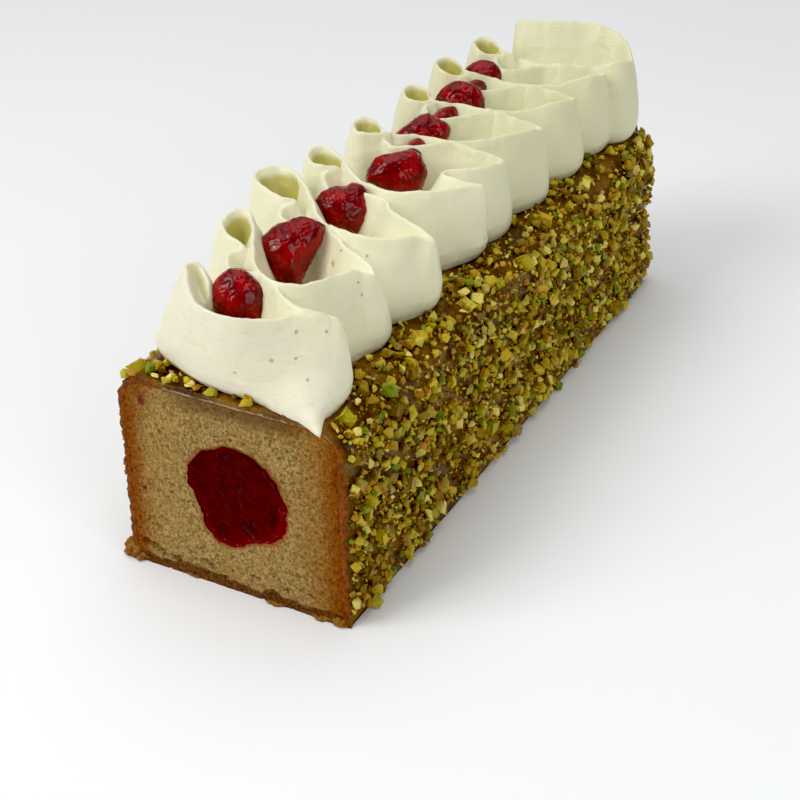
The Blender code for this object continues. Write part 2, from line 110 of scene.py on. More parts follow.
class Finish:
    # a procedural material on one Principled shader
    def __init__(self, name, **constants):
        self.material = bpy.data.materials.new(name)
        self.material.use_nodes = True
        self.tree = self.material.node_tree
        self.shader = self.tree.nodes["Principled BSDF"]
        for words, value in constants.items():
            self.shader.inputs[words.replace("_", " ")].default_value = value

    def node(self, kind, settings=None, inputs=None, output=0):
        made = self.tree.nodes.new(kind)
        for key, value in (settings or {}).items():
            if key == "stops":
                stops = made.color_ramp.elements
                for number, (spot, color) in enumerate(value):
                    stop = stops[number] if number < 2 else stops.new(spot)
                    stop.position = spot
                    stop.color = color
            else:
                setattr(made, key, value)
        for key, value in (inputs or {}).items():
            self.feed(made.inputs[key], value)
        return Signal(self, made.outputs[output])

    def feed(self, socket, value):
        if isinstance(value, Signal):
            self.tree.links.new(value.socket, socket)
        else:
            socket.default_value = value

    def wear(self, **links):
        for words, value in links.items():
            self.feed(self.shader.inputs[words.replace("_", " ")], value)
        return self.material

    def spot(self):
        return self.node("ShaderNodeTexCoord", output="Object")

    def stretched(self, sizes):
        return self.node("ShaderNodeMapping", {}, {"Vector": self.spot(), "Scale": sizes})

    def grain(self, size, detail=2.0, rough=0.55, vector=None, offset=0.0):
        # noise with lumps of about size mm
        return self.node("ShaderNodeTexNoise", {"noise_dimensions": "4D"},
                         {"Vector": vector or self.spot(), "Scale": 0.6 / (size * mm), "Detail": detail,
                          "Roughness": rough, "W": offset})

    def cells(self, size):
        # distance from the middles of cells of about size mm
        return self.node("ShaderNodeTexVoronoi", {}, {"Vector": self.spot(), "Scale": 1 / (size * mm)})

    def ramp(self, value, low, high, start=0.0, end=1.0):
        return self.node("ShaderNodeMapRange", {"interpolation_type": "SMOOTHSTEP"},
                         {"Value": value, "From Min": low, "From Max": high, "To Min": start, "To Max": end})

    def blend(self, share, first, second):
        return self.node("ShaderNodeMix", {"data_type": "RGBA"}, {0: share, 6: first, 7: second}, 2)

    def tone(self, name):
        return self.node("ShaderNodeAttribute", {"attribute_name": name}, output="Fac")

    def relief(self, height, depth, strength=1.0, under=None):
        # bump with its depth in mm
        inputs = {"Height": height, "Distance": depth * mm, "Strength": strength}
        if under:
            inputs["Normal"] = under
        return self.node("ShaderNodeBump", {}, inputs)


def tint(red, green, blue):
    # screen colour, 0 to 255, as a linear colour
    linear = [((v / 255 + 0.055) / 1.055) ** 2.4 if v > 10 else v / 255 / 12.92 for v in (red, green, blue)]
    return (*linear, 1.0)


# Meshes

def newMesh(name, points, faces):
    # points in mm, placed in the frame
    mesh = bpy.data.meshes.new(name)
    mesh.from_pydata([(x * mm + place.x, y * mm + place.y, z * mm) for x, y, z in points], [], faces)
    return mesh


def builtMesh(build, name):
    mesh = bpy.data.meshes.new(name)
    build.to_mesh(mesh)
    build.free()
    return mesh


def newObject(name, mesh, material=None, smooth=True):
    item = bpy.data.objects.new(name, mesh)
    bpy.context.scene.collection.objects.link(item)
    if material:
        mesh.materials.clear()
        mesh.materials.append(material)
    mesh.polygons.foreach_set("use_smooth", [smooth] * len(mesh.polygons))
    return item


def setTone(mesh, name, values):
    # a number for each point, which the materials read by its name
    tone = mesh.attributes.new(name, "FLOAT", "POINT")
    tone.data.foreach_set("value", np.asarray(values, dtype=np.float32))


def settle(item):
    # the mesh that the modifiers give becomes the object's own
    graph = bpy.context.evaluated_depsgraph_get()
    item.data = bpy.data.meshes.new_from_object(item.evaluated_get(graph))
    item.modifiers.clear()


def turnOutward(mesh):
    build = bmesh.new()
    build.from_mesh(mesh)
    bmesh.ops.recalc_face_normals(build, faces=build.faces)
    build.to_mesh(mesh)
    build.free()


def dress(item, slot, *nodes):
    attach(item, "root")
    if nodes:
        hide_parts(*nodes)
    item.data.calc_loop_triangles()
    print("  {}: {} triangles".format(item.name, len(item.data.loop_triangles)))
    return item


def ringSkin(rings, startCentre, endCentre):
    # closed skin through rings with the same number of points, and a point at either end
    count = len(rings[0])
    points = [startCentre] + [point for ring in rings for point in ring] + [endCentre]
    faces = []
    for j in range(count):
        n = (j + 1) % count
        faces.append((0, 1 + n, 1 + j))
        base = 1 + (len(rings) - 1) * count
        faces.append((len(points) - 1, base + j, base + n))
    for i in range(len(rings) - 1):
        low, high = 1 + i * count, 1 + (i + 1) * count
        for j in range(count):
            n = (j + 1) % count
            faces.append((low + j, low + n, high + n, high + j))
    return points, faces


def evenly(line, count):
    # count points along a line of (x, z), the same distance apart
    line = np.array(line, dtype=float)
    walked = np.concatenate(([0], np.cumsum(np.hypot(*np.diff(line, axis=0).T))))
    spots = np.linspace(0, walked[-1], count)
    return np.column_stack((np.interp(spots, walked, line[:, 0]), np.interp(spots, walked, line[:, 1])))


def archLine(inset):
    # section of the loaf from its left foot over the top to its right foot
    half = loaf["width"] / 2 - inset
    top = loaf["height"] - inset
    radius = max(loaf["edgeRadius"] - inset, 0.2)
    line = [(-half, 0.0)]
    for side in (-1, 1):
        turns = np.linspace(0, math.pi / 2, 24)
        for turn in turns if side < 0 else turns[::-1]:
            across = half - radius + radius * math.cos(turn)
            line.append((side * across, top - radius + radius * math.sin(turn)))
    return line + [(half, 0.0)]


def cutAt(x, z):
    # y of the cut at a place of the section
    return loaf["lean"] * z / loaf["height"] + loaf["skew"] * (0.5 - x / loaf["width"])


def ease(value, low, high):
    # 0 at low, 1 at high, smooth between
    share = np.clip((value - low) / (high - low), 0, 1)
    return share * share * (3 - 2 * share)


def lumps(x, y, z, size, octaves=2):
    # noise between about -1 and 1 with lumps of size mm
    return noise.fractal(Vector((x, y, z)) / size, 1.0, 2.0, octaves, noise_basis="PERLIN_ORIGINAL")


# Camera, floor and light

viewpoint = {
    "azimuth": 29.577,
    "elevation": 31.115,
    "roll": -3.02,
    "place": (227.3, -297.8, 286.9),
    "lens": 72.0,
}

studio = {
    "floor": ((251, 252, 252), (253, 254, 254)),
    "floorReach": 3000,
    "sky": 0.33,
    "skyColor": (0.97, 0.985, 1.0),
    "lights": (  # name, power, place in m, size in m
        ("windowLight", 7.7, (-0.6, -0.75, 0.9), 0.7),
        ("ceilingLight", 7.2, (-0.2, 0.3, 1.4), 1.4),
        ("softFill", 2.6, (0.9, -0.5, 0.6), 0.6),
        ("leftGlint", 0.28, (-0.35, -0.8, 0.95), 0.05),
        ("rightGlint", 0.22, (0.45, 0.05, 1.1), 0.05),
    ),
    "blackLevel": 0.008,
}


def viewAxes():
    # right, up and toward the camera
    turn, rise, roll = (math.radians(viewpoint[key]) for key in ("azimuth", "elevation", "roll"))
    back = Vector((math.sin(turn) * math.cos(rise), -math.cos(turn) * math.cos(rise), math.sin(rise)))
    right = (-back).cross(Vector((0, 0, 1))).normalized()
    up = right.cross(-back)
    return math.cos(roll) * right + math.sin(roll) * up, -math.sin(roll) * right + math.cos(roll) * up, back


def setCamera():
    rolledRight, rolledUp, back = viewAxes()
    spot = Vector(viewpoint["place"]) * mm + place
    lens = bpy.data.cameras.new("photoView")
    lens.lens = viewpoint["lens"]
    lens.sensor_width = 36
    lens.clip_start = 0.01
    camera = bpy.data.objects.new("photoView", lens)
    bpy.context.scene.collection.objects.link(camera)
    rows = [(rolledRight[i], rolledUp[i], back[i], spot[i]) for i in range(3)]
    camera.matrix_world = Matrix([*rows, (0, 0, 0, 1)])
    bpy.context.scene.camera = camera


def addLight(name, power, spot, size):
    lamp = bpy.data.lights.new(name, "AREA")
    lamp.energy = power
    lamp.size = size
    light = bpy.data.objects.new(name, lamp)
    light.location = spot
    light.rotation_euler = (-Vector(spot)).to_track_quat("-Z", "Y").to_euler()
    bpy.context.scene.collection.objects.link(light)


def setStudio():
    world = bpy.data.worlds.new("paleRoom")
    world.use_nodes = True
    sky = world.node_tree.nodes["Background"]
    sky.inputs["Color"].default_value = (*studio["skyColor"], 1)
    sky.inputs["Strength"].default_value = studio["sky"]
    bpy.context.scene.world = world
    look = bpy.context.scene.view_settings
    look.view_transform = "Standard"
    look.use_curve_mapping = True
    look.curve_mapping.black_level = (studio["blackLevel"],) * 3
    for name, power, spot, size in studio["lights"]:
        addLight(name, power, spot, size)

    table = Finish("paleTable", Roughness=0.55)
    veil = table.grain(180, 2)
    pale, paler = (tint(*color) for color in studio["floor"])
    table.wear(Base_Color=table.blend(table.ramp(veil, 0.3, 0.7), pale, paler))
    reach = studio["floorReach"]
    corners = [(-reach, -reach, 0), (reach, -reach, 0), (reach, reach, 0), (-reach, reach, 0)]
    floor = newObject("tableTop", newMesh("tableTop", corners, [(0, 1, 2, 3)]), table.material)


print("camera and studio")
setCamera()
setStudio()


# Raspberry core: the jammy rod that shows at the cut

core = {
    "centre": (2.1, 32.0),
    "radius": 16.0,
    "waves": ((3, 0.9, 0.33), (4, 1.0, -1.64), (5, 0.45, 2.38)),  # order, height, phase
    "ragged": 0.75,
    "endCover": 12.0,
    "around": 300,
    "faceRings": 52,
    "lump": 0.4,
    "lumpSize": 3.4,
    "standOut": 0.05,  # how far it stands out of the crumb at the cut
    "domed": ((0.72, 2.5), (0.3, 0.5)),  # its closed end: share of the radius, distance from the end
}


def coreRadius(angle, share):
    radius = core["radius"]
    for order, height, phase in core["waves"]:
        radius += height * math.cos(order * angle - phase + 0.5 * math.sin(4 * share + order) * share)
    radius *= 1 + 0.05 * math.sin(7 * share) * share
    edge = Vector((math.cos(angle), math.sin(angle), 0)) * 6.0
    radius += core["ragged"] * noise.fractal(edge, 0.9, 2.1, 4, noise_basis="PERLIN_ORIGINAL")
    return radius


def corePoint(angle, share, grow=0.0):
    radius = coreRadius(angle, share) + grow
    return core["centre"][0] + radius * math.cos(angle), core["centre"][1] + radius * math.sin(angle)


def coreRing(angles, share, depth, inner=1.0):
    cx, cz = core["centre"]
    spots = [corePoint(angle, share) for angle in angles]
    return [(cx + (x - cx) * inner, depth, cz + (z - cz) * inner) for x, z in spots]


def coreFace(x, z):
    # the pulp's lumps at the cut, mm
    return core["lump"] * lumps(x, 3.1, z, core["lumpSize"], 3)


def makeCoreFinish():
    finish = Finish("raspberryFilling", Specular_IOR_Level=0.05)
    pulp = finish.grain(2.6, 4, 0.62)
    rim = finish.tone("rim")
    dark = finish.blend(finish.ramp(pulp, 0.35, 0.68), tint(62, 0, 2), tint(88, 0, 4))
    lowRight = finish.tone("lowRight")
    color = finish.blend(finish.ramp(rim + 0.5 * pulp + 0.2 * lowRight, 0.6, 1.25), dark, tint(108, 4, 12))
    # painted highlight: pale pink flecks on the rim and the lower right, where the wet pulp catches the light
    highlightFleck = finish.ramp(finish.grain(0.7, 2, 0.6, offset=3.0), 0.62, 0.72)
    color = finish.blend(highlightFleck * finish.ramp(rim + 0.5 * lowRight, 0.1, 0.9) * 0.5, color, tint(196, 96, 96))
    bump = finish.relief(finish.grain(1.4, 2, 0.5), 0.12, 0.3)
    return finish.wear(Base_Color=color, Roughness=finish.ramp(pulp, 0.3, 0.7, 0.3, 0.6), Normal=bump)


def makeCore():
    angles = np.linspace(0, 2 * math.pi, core["around"], endpoint=False)
    cx, cz = core["centre"]
    rings, rimShare = [], [0.0]
    for ring in range(1, core["faceRings"] + 1):
        share = (ring / core["faceRings"]) ** 0.85
        line = []
        for angle in angles:
            edgeX, edgeZ = corePoint(angle, 0)
            x, z = cx + (edgeX - cx) * share, cz + (edgeZ - cz) * share
            pulp = coreFace(x, z) * min(1.0, (1 - share) * 9 + 0.5)
            line.append((x, cutAt(x, z) + core["standOut"] - pulp, z))
            rimShare.append(share ** 5)
        rings.append(line)
    far = loaf["length"] - core["endCover"]
    for depth in (2.5, 40, 90, 140, 190, far - 6):
        rings.append(coreRing(angles, depth / (far - 6), depth))
    for inner, room in core["domed"]:
        rings.append(coreRing(angles, 1, far - room, inner))
    middle = (cx, cutAt(cx, cz) + core["standOut"] - coreFace(cx, cz), cz)
    points, faces = ringSkin(rings, middle, (cx, far - 0.3, cz))
    mesh = newMesh("raspberryCore", points, faces)
    turnOutward(mesh)
    setTone(mesh, "rim", rimShare + [1.0] * (len(points) - len(rimShare)))
    setTone(mesh, "lowRight", [float(ease((x - cx) - 0.9 * (z - cz), 2, 20)) for x, _, z in points])
    item = newObject("raspberryCore", mesh, makeCoreFinish())
    return dress(item, "raspberry_filling", "raspberry_core")


print("raspberry core")
makeCore()


# Sponge: porous crumb at the cut, browned towards its edges, dense and moist along the base

crumb = {
    "around": 700,
    "rings": 88,
    "pores": 5200,
    "poreRadius": (0.16, 0.72),
    "poreDepth": 0.75,
    "uneven": 0.5,
    "crustLeft": 7.5,
    "crustRight": 8.0,
    "crustTop": 0.8,
    "crustCorner": (-34.0, 60.0, 17.0, 9.0),  # x, z, reach across, reach down
    "goldLeft": 15.0,
    "goldRight": 24.0,
    "goldTop": 9.0,
    "moistBand": 4.6,
    "cracks": 46,
    "boreRoom": 0.3,  # between the filling and the crumb, behind the cut
    "leafSpecks": ((6.6, 41.0, 0.8), (21.4, 12.4, 0.9), (-12, 50, 0.5)),  # x, z, radius
    "berrySpecks": ((-29.5, 55.2, 1.6), (-31.4, 26, 1.0), (-24, 47, 0.6)),
}


def edgeDistance(x, z):
    # distance from the sponge's skin, in the section
    radius = loaf["edgeRadius"] - loaf["glaze"]
    half = loaf["width"] / 2 - loaf["glaze"] - radius
    top = loaf["height"] - loaf["glaze"] - radius
    qx, qz = np.abs(x) - half, z - top
    return radius - np.hypot(np.maximum(qx, 0), np.maximum(qz, 0)) - np.minimum(np.maximum(qx, qz), 0)


def crustShare(x, z):
    room = edgeDistance(x, z)
    topRoom = loaf["height"] - loaf["glaze"] - z
    sideRoom = loaf["width"] / 2 - loaf["glaze"] - np.abs(x)
    reach = np.where(x < 0, crumb["crustLeft"], crumb["crustRight"])
    reach = np.where(topRoom < sideRoom, crumb["crustTop"], reach)
    cornerX, cornerZ, wide, deep = crumb["crustCorner"]
    corner = 1 - np.clip(np.hypot((x - cornerX) / wide, (z - cornerZ) / deep), 0, 1)
    return np.maximum(1 - np.clip(room / reach, 0, 1), corner)


def goldShare(x, z):
    # the broad golden shade inside the crust, widest at the right
    left = 1 - (x + loaf["width"] / 2) / crumb["goldLeft"]
    right = 1 - (loaf["width"] / 2 - x) / crumb["goldRight"]
    top = (1 - (loaf["height"] - z) / crumb["goldTop"]) * ease(x, -10, 22)
    return np.clip(np.maximum(np.maximum(left, right), top), 0, 1)


def speckShare(x, z, specks):
    share = np.zeros(len(x))
    for spotX, spotZ, radius in specks:
        share = np.maximum(share, 1 - ease(np.hypot(x - spotX, z - spotZ), 0.6 * radius, 1.2 * radius))
    return share


def cutRough(x, z):
    # the unevenness that the whole cut has, without the pores
    return 0.55 * lumps(x, 1.7, z, 7.0, 2) + 0.5 * lumps(x, 5.2, z, 1.5, 3)


def crumbRelief(points):
    # how far each (x, z) of the cut lies behind the plane of the cut, and how deep in a pore
    chance = random.Random(7)
    tree = kdtree.KDTree(len(points))
    for index, (x, z) in enumerate(points):
        tree.insert((x, z, 0), index)
    tree.balance()
    pit = np.zeros(len(points))
    small, large = crumb["poreRadius"]
    for _ in range(crumb["pores"]):
        spot = (chance.uniform(-38, 38), chance.uniform(0, 62), 0)
        radius = small + (large - small) * chance.random() ** 4
        wide = chance.uniform(0.7, 1.3)
        if spot[1] < crumb["moistBand"] and chance.random() < 0.6:
            continue
        for near, index, _ in tree.find_range(spot, radius * 1.4):
            across = math.hypot((near[0] - spot[0]) * wide, (near[1] - spot[1]) / wide) / radius
            if across < 1:
                pit[index] = max(pit[index], crumb["poreDepth"] * radius * (1 - across ** 2) ** 0.7)
    for _ in range(crumb["cracks"]):  # torn pores along the top of the moist band
        along = chance.random() ** 1.7
        x = -33 + along * 62
        spot = (x, crumb["moistBand"] + 1.0 + 1.4 * math.sin(0.35 * x) + chance.uniform(-0.9, 0.9), 0)
        radius = chance.uniform(0.4, 1.15) * (1.1 - 0.5 * along)
        for near, index, _ in tree.find_range(spot, radius * 1.8):
            across = math.hypot((near[0] - spot[0]) / 1.6, (near[1] - spot[1]) * 1.5) / radius
            if across < 1:
                pit[index] = max(pit[index], 1.6 * radius * (1 - across ** 2))
    depth = np.empty(len(points))
    for index, (x, z) in enumerate(points):
        firm = 0.45 if z < crumb["moistBand"] else 1.0
        depth[index] = crumb["uneven"] * cutRough(x, z) * firm + pit[index]
    return depth, pit


def makeCrumbFinish():
    finish = Finish("spongeCrumb", Roughness=0.85, Specular_IOR_Level=0.12)
    broad = finish.grain(9, 2)
    fine = finish.grain(0.6, 4, 0.75)
    speck = finish.grain(0.36, 2, 0.6, offset=2.0)
    color = finish.blend(finish.ramp(fine, 0.3, 0.7), tint(98, 68, 18), tint(198, 168, 108))
    color = finish.blend(finish.ramp(broad, 0.35, 0.7) * 0.4, color, tint(156, 118, 54))
    color = finish.blend(finish.ramp(speck, 0.6, 0.72) * 0.75, color, tint(218, 198, 148))
    gold = finish.ramp(finish.tone("gold") + 0.7 * (finish.grain(4, 3) - 0.5), 0.1, 0.9)
    golden = finish.blend(finish.ramp(fine, 0.3, 0.7), tint(106, 58, 6), tint(166, 110, 36))
    color = finish.blend(gold * 0.85, color, golden)
    crust = finish.tone("crust")
    edge = finish.ramp(crust + 0.9 * (finish.grain(2.4, 4, 0.65) - 0.5), 0.1, 1.05)
    brown = finish.blend(finish.ramp(fine, 0.3, 0.72), tint(94, 38, 0), tint(156, 84, 16))
    color = finish.blend(edge * 0.9, color, brown)
    moist = finish.ramp(finish.tone("moist") + 0.3 * (finish.grain(1.6, 3) - 0.5), 0.3, 0.6)
    base = finish.blend(finish.ramp(fine, 0.35, 0.7), tint(64, 26, 4), tint(124, 76, 36))
    color = finish.blend(moist * 0.92, color, base)
    color = finish.blend(finish.tone("soak") * 0.75, color, tint(98, 70, 38))
    color = finish.blend(finish.tone("leaf") * 0.8, color, tint(96, 104, 20))
    color = finish.blend(finish.tone("berry") * 0.85, color, tint(112, 24, 36))
    color = finish.blend(finish.tone("stain") * 0.75, color, tint(150, 60, 30))
    # painted shade in the pores and torn cracks, darker where they are deeper
    color = finish.blend(finish.ramp(finish.tone("pore"), 0.1, 0.7) * 0.34, color, tint(92, 56, 10))
    bump = finish.relief(finish.grain(0.34, 3, 0.8), 0.35, 0.8)
    return finish.wear(Base_Color=color, Normal=bump)


def makeSponge():
    arch = archLine(loaf["glaze"])
    half = loaf["width"] / 2 - loaf["glaze"]
    closed = evenly(arch + [(-half, 0.0)], crumb["around"] + 1)[:-1]
    cx, cz = core["centre"]
    angles = np.arctan2(closed[:, 1] - cz, closed[:, 0] - cx)
    inner = np.array([corePoint(angle, 0, 0.05) for angle in angles])
    flat = []
    for ring in range(crumb["rings"] + 1):
        flat.append(inner + (closed - inner) * (ring / crumb["rings"]) ** 0.95)
    flat = np.concatenate(flat)
    depth, pit = crumbRelief(flat)
    fade = np.repeat(np.clip(np.arange(crumb["rings"] + 1) / 3, 0.25, 1), crumb["around"])
    front = [(x, cutAt(x, z) + d * f, z) for (x, z), d, f in zip(flat, depth, fade)]
    rings = [front[i * crumb["around"]:(i + 1) * crumb["around"]] for i in range(crumb["rings"] + 1)]
    bore = []
    far = loaf["length"] - core["endCover"]
    for boreDepth in (far - 6, 140, 60, 8):
        spots = [corePoint(angle, boreDepth / (far - 6), crumb["boreRoom"]) for angle in angles]
        bore.append([(x, boreDepth, z) for x, z in spots])
    skin = []
    back = loaf["length"] - loaf["glaze"]
    radius = loaf["edgeRadius"] - loaf["glaze"]
    for along in (8, 80, 160, back - radius):
        skin.append([(x, along, z) for x, z in closed])
    for turn in (0.3, 0.6, 0.9, 1.2, 1.5):
        draw = radius * (1 - math.cos(turn))
        ring = archLine(loaf["glaze"] + draw)
        ring = evenly(ring + [ring[0]], crumb["around"] + 1)[:-1]
        skin.append([(x, back - radius + radius * math.sin(turn), z) for x, z in ring])
    points, faces = ringSkin(bore + rings + skin, (cx, far - 5, cz), (0, back, 30))
    mesh = newMesh("spongeLoaf", points, faces)
    turnOutward(mesh)
    x, z = flat[:, 0], flat[:, 1]
    coreGap = np.repeat(np.arange(crumb["rings"] + 1), crumb["around"]) / crumb["rings"]
    wander = np.array([lumps(px, 2.2, pz, 6.0, 2) for px, pz in flat])
    topRoom = loaf["height"] - loaf["glaze"] - z
    moistEdge = crumb["moistBand"] + 1.6 * wander
    marks = {
        "crust": crustShare(x, z),
        "gold": goldShare(x, z),
        "moist": 1 - ease(z, moistEdge - 3.4, moistEdge + 0.9),
        "soak": (1 - ease(topRoom, 1.5, 6.5 + wander)) * ease(x, -24, -12) * (1 - ease(x, 18, 30)),
        "stain": 1 - ease(coreGap, 0.0, 0.07),
        "leaf": speckShare(x, z, crumb["leafSpecks"]),
        "berry": speckShare(x, z, crumb["berrySpecks"]),
        # pore depth, for the painted shade in the pores
        "pore": np.clip(pit, 0, 1),
    }
    before = 1 + len(bore) * crumb["around"]
    after = len(points) - before - len(flat)
    for word, values in marks.items():
        rest = 1.0 if word in ("crust", "gold") else 0.0
        setTone(mesh, word, np.concatenate((np.full(before, rest), values, np.full(after, rest))))
    item = newObject("spongeLoaf", mesh, makeCrumbFinish())
    return dress(item, "sponge_crumb", "sponge")


print("sponge")
makeSponge()


# Cream: one piped ribbon folded from side to side, broad at its foot and thin at its lip

cream = {
    "shares": (0.0, 0.14, 0.2, 0.28, 0.38, 0.5, 0.62, 0.72, 0.81, 0.88, 0.94, 0.98, 1.0),
    "widths": (11.0, 14.0, 16.8, 17.8, 16.8, 14.2, 11.4, 8.9, 6.8, 4.8, 3.0, 1.8, 1.1),
    "root": 6.0,  # how far the wall reaches down into the loaf before it is cut
    "bedRoom": 0.1,
    "spacing": 0.8,
    "footSoftness": 5.0,  # mm over which the folds even out at the foot
    "wallSoftness": 2.4,
    "voxel": 0.46,
    "triangles": 188000,
    "barWidth": 38.0,
    "barRise": 12.0,
    "barEnds": (22.0, 222.0),
    "frontFoot": ((-33, 31), (-26, 27.5), (-18, 25), (-8, 21.5), (0, 19.5), (8, 20), (14, 14.5), (20, 8.5),
                  (25.5, 5)),
    # place along the loaf, share of the lip's distance from the middle
    "rightFoot": ((20, 0.74), (48, 0.76), (75, 0.66), (115, 0.56), (135, 0.72), (230, 0.75)),
    # the corner drawn out over the edge of the cut: from (x, y, rise), how far, within what reach,
    # how pointed
    "pulls": (((28.5, 7.0, 2.0), (1.2, -2.6, -0.9), 11.0, 1.0),
              ((30.0, 3.8, 0.6), (4.4, -3.6, -2.6), 5.0, 2.0)),
    "loops": ((-20.5, 49.5, 31.5), (-25.5, 78, 32), (-22.5, 101, 31.5)),  # middles of the near open loops
    "rounding": 5,  # of the ribbon's two ends
    "waver": 0.55,  # how far the wall wavers, and over what length
    "waverSize": 9.0,
    "nick": 0.4,  # unevenness of the lip
    # reach of the painted shade around each open loop's middle, mm
    "hollowReach": 7.0,
    "pits": (  # x, y, z, radius
        (15.1, 8.2, 77.4, 0.8), (20.6, 11.7, 77.6, 0.7), (26.1, 8.0, 74.4, 0.8), (20.1, 13.7, 84.2, 0.8),
        (5.2, 4.7, 73.2, 0.5), (6.7, 55.4, 82.7, 1.3), (22.3, 45.0, 80.9, 0.55), (26.0, 19.3, 82.9, 0.6),
        (9.9, 56.0, 87.3, 0.6), (15.5, 60.7, 84.6, 0.6), (21.1, 45.4, 84.4, 0.6), (27.7, 112.9, 69.3, 0.5),
    ),
}

# The lip of the nearer folds, mm: across, along and above the loaf
nearLip = (
    (-10, 17, 24), (-12, 20, 27), (-16, 23, 30.5), (-18.5, 20.5, 31), (-15, 15, 30.4), (-9, 8, 29.6),
    (-3, 4.5, 28.4), (4, 4, 27.5), (10, 6.5, 26.7), (15, 10.8, 25.8), (18.5, 14.6, 25.2), (21.5, 18, 24.6),
    (25, 21.4, 23.2), (28, 23.6, 21),
    # back to the second loop
    (25, 23.6, 22.6), (21, 20.8, 24.5), (18, 19.8, 25.3), (13.5, 21, 26), (8, 24.5, 26.6), (3, 28, 27),
    (-3, 29, 27.4), (-9, 28, 27.6), (-12.5, 31, 28), (-14, 35.5, 28.6), (-11.5, 38.5, 29.2),
    (-14, 39.5, 30.2), (-20, 42, 31), (-24, 46.5, 31.6), (-25, 52, 32), (-23, 55.5, 32),
    (-19.5, 54.5, 31.4), (-16, 50, 30.5), (-11.5, 42.5, 29.5), (-7, 36, 28.5), (-1, 29.8, 28),
    (5, 27.2, 27.5), (11, 27.8, 27), (15, 33, 26.3), (17.5, 41, 25.3), (20, 47, 24.3), (23.5, 50, 22),
    # third loop, the widest
    (19.5, 53, 24), (12, 56, 25.4), (5, 61, 26.4), (-3, 63.5, 27.1), (-10, 61.5, 27.6), (-14, 62.5, 28.2),
    (-16.5, 67, 28.8), (-14.5, 71, 29.6), (-18, 69.5, 30.8), (-24, 71, 31.8), (-30, 74, 32.3),
    (-33, 80, 32.9), (-29.5, 84.5, 33.1), (-23, 85, 32), (-17, 81, 30.2), (-11, 75, 29.2), (-5, 68, 28.1),
    (1, 64.2, 27.5), (9, 62.5, 27), (16, 63.5, 26.4), (21, 67.5, 25.7), (25, 73, 24.4), (29.5, 75.5, 22.5),
    # fourth
    (25, 77.5, 24.5), (18, 79, 26), (12, 82.5, 26.3), (7, 87.5, 26.7), (1, 88.5, 27.2), (-5, 88.5, 27.5),
    (-11, 86, 27.9), (-14.5, 88.5, 28.3), (-17.5, 94, 28.8), (-15.5, 98.5, 29.5), (-19, 95.8, 30.6),
    (-23, 95.5, 31.2), (-26.5, 99, 31.7), (-27, 103.5, 32.1), (-24, 106, 32.3), (-19, 104.5, 31.3),
    (-14, 101, 30), (-10, 97.5, 29), (-5, 94.8, 27.9), (2, 93.2, 27.2), (8, 94, 26.8), (14, 98, 26.3),
    (19, 104, 25.6), (23, 109.5, 24.9), (27, 115, 23.4),
    # a short fold on the right only
    (24, 113.6, 24.4), (19.5, 111.8, 25.4), (14, 112.2, 26.2), (14, 115.6, 26.3), (19, 119.5, 25.8),
    (23, 126, 25), (24.5, 134, 23.6),
)
# Beyond, one row for each fold: left loop (x, y, rise), size of the curl beside it,
# crest of the front leg (x, y), right fold (x, y, rise)
farFolds = (
    ((-25, 130, 32), 0.3, (6, 137), (26, 161, 25)),
    ((-24, 163, 32), 0.8, (5, 166), (27, 187, 26)),
    ((-25, 190, 33), 0.8, (5, 193), (28, 211, 27)),
    ((-22, 214, 33), 0.7, (6, 214), (33, 226, 28)),
)
ribbonEnd = ((25, 236, 33), (12, 237, 36), (-4, 234, 36), (-16, 233, 35))


def lipGuides():
    # the near folds, then each far fold's leg to the left, its curl and loop, and its way back
    lip = list(nearLip)
    px, py, pz = nearLip[-1]
    for (lx, ly, rise), curl, (cx, cy), (rx, ry, foldRise) in farFolds:
        lip += [
            (px - 4.5, py + 0.5, pz + 1.4), (px - 10.5, py, pz + 2.6),
            (0.25 * px, py + 0.4 * (ly - py) + 3.5, 26.8),
            (lx + 17, ly - 1 - 14 * curl, 27.4), (lx + 12.5, ly - 0.5 - 13 * curl, 28),
            (lx + 9.5, ly - 8 * curl, 28.8), (lx + 11.5, ly + 0.5 - 4.5 * curl, 29.4),
            (lx + 6.5, ly - 4.5 - 3 * curl, 30.6), (lx + 2, ly - 6.5, rise - 0.9),
            (lx - 1.5, ly - 1, rise - 0.3), (lx, ly + 3, rise), (lx + 4, ly + 3, rise - 0.8),
            (lx + 9, ly - 1, rise - 2.2), (lx + 14, 0.6 * (ly - 3) + 0.4 * cy, rise - 3.4),
            (0.4 * lx + 0.6 * cx, 0.25 * ly + 0.75 * cy, 27.6), (cx, cy, 26.8),
            (cx + 0.5 * (rx - cx), cy + 0.3 * (ry - cy), 26.3), (rx - 3, ry - 7, foldRise + 1.6),
            (rx, ry, foldRise),
        ]
        px, py, pz = rx, ry, foldRise
    return lip + list(ribbonEnd)


def spline(points, steps):
    # a smooth curve through the points, each stretch in so many steps
    points = [Vector(point) for point in points]
    points = [2 * points[0] - points[1]] + points + [2 * points[-1] - points[-2]]
    curve = []
    for i in range(1, len(points) - 2):
        a, b, c, d = points[i - 1:i + 3]
        for j in range(steps):
            t = j / steps
            curve.append(0.5 * (2 * b + (c - a) * t + (2 * a - 5 * b + 4 * c - d) * t ** 2
                                + (3 * b - a - 3 * c + d) * t ** 3))
    curve.append(points[-2])
    return np.array([tuple(point) for point in curve])


def walkedEvenly(curve, spacing):
    # points the same distance apart along the curve
    walked = np.concatenate(([0], np.cumsum(np.linalg.norm(np.diff(curve, axis=0), axis=1))))
    spots = np.linspace(0, walked[-1], round(walked[-1] / spacing))
    return np.column_stack([np.interp(spots, walked, curve[:, axis]) for axis in range(curve.shape[1])])


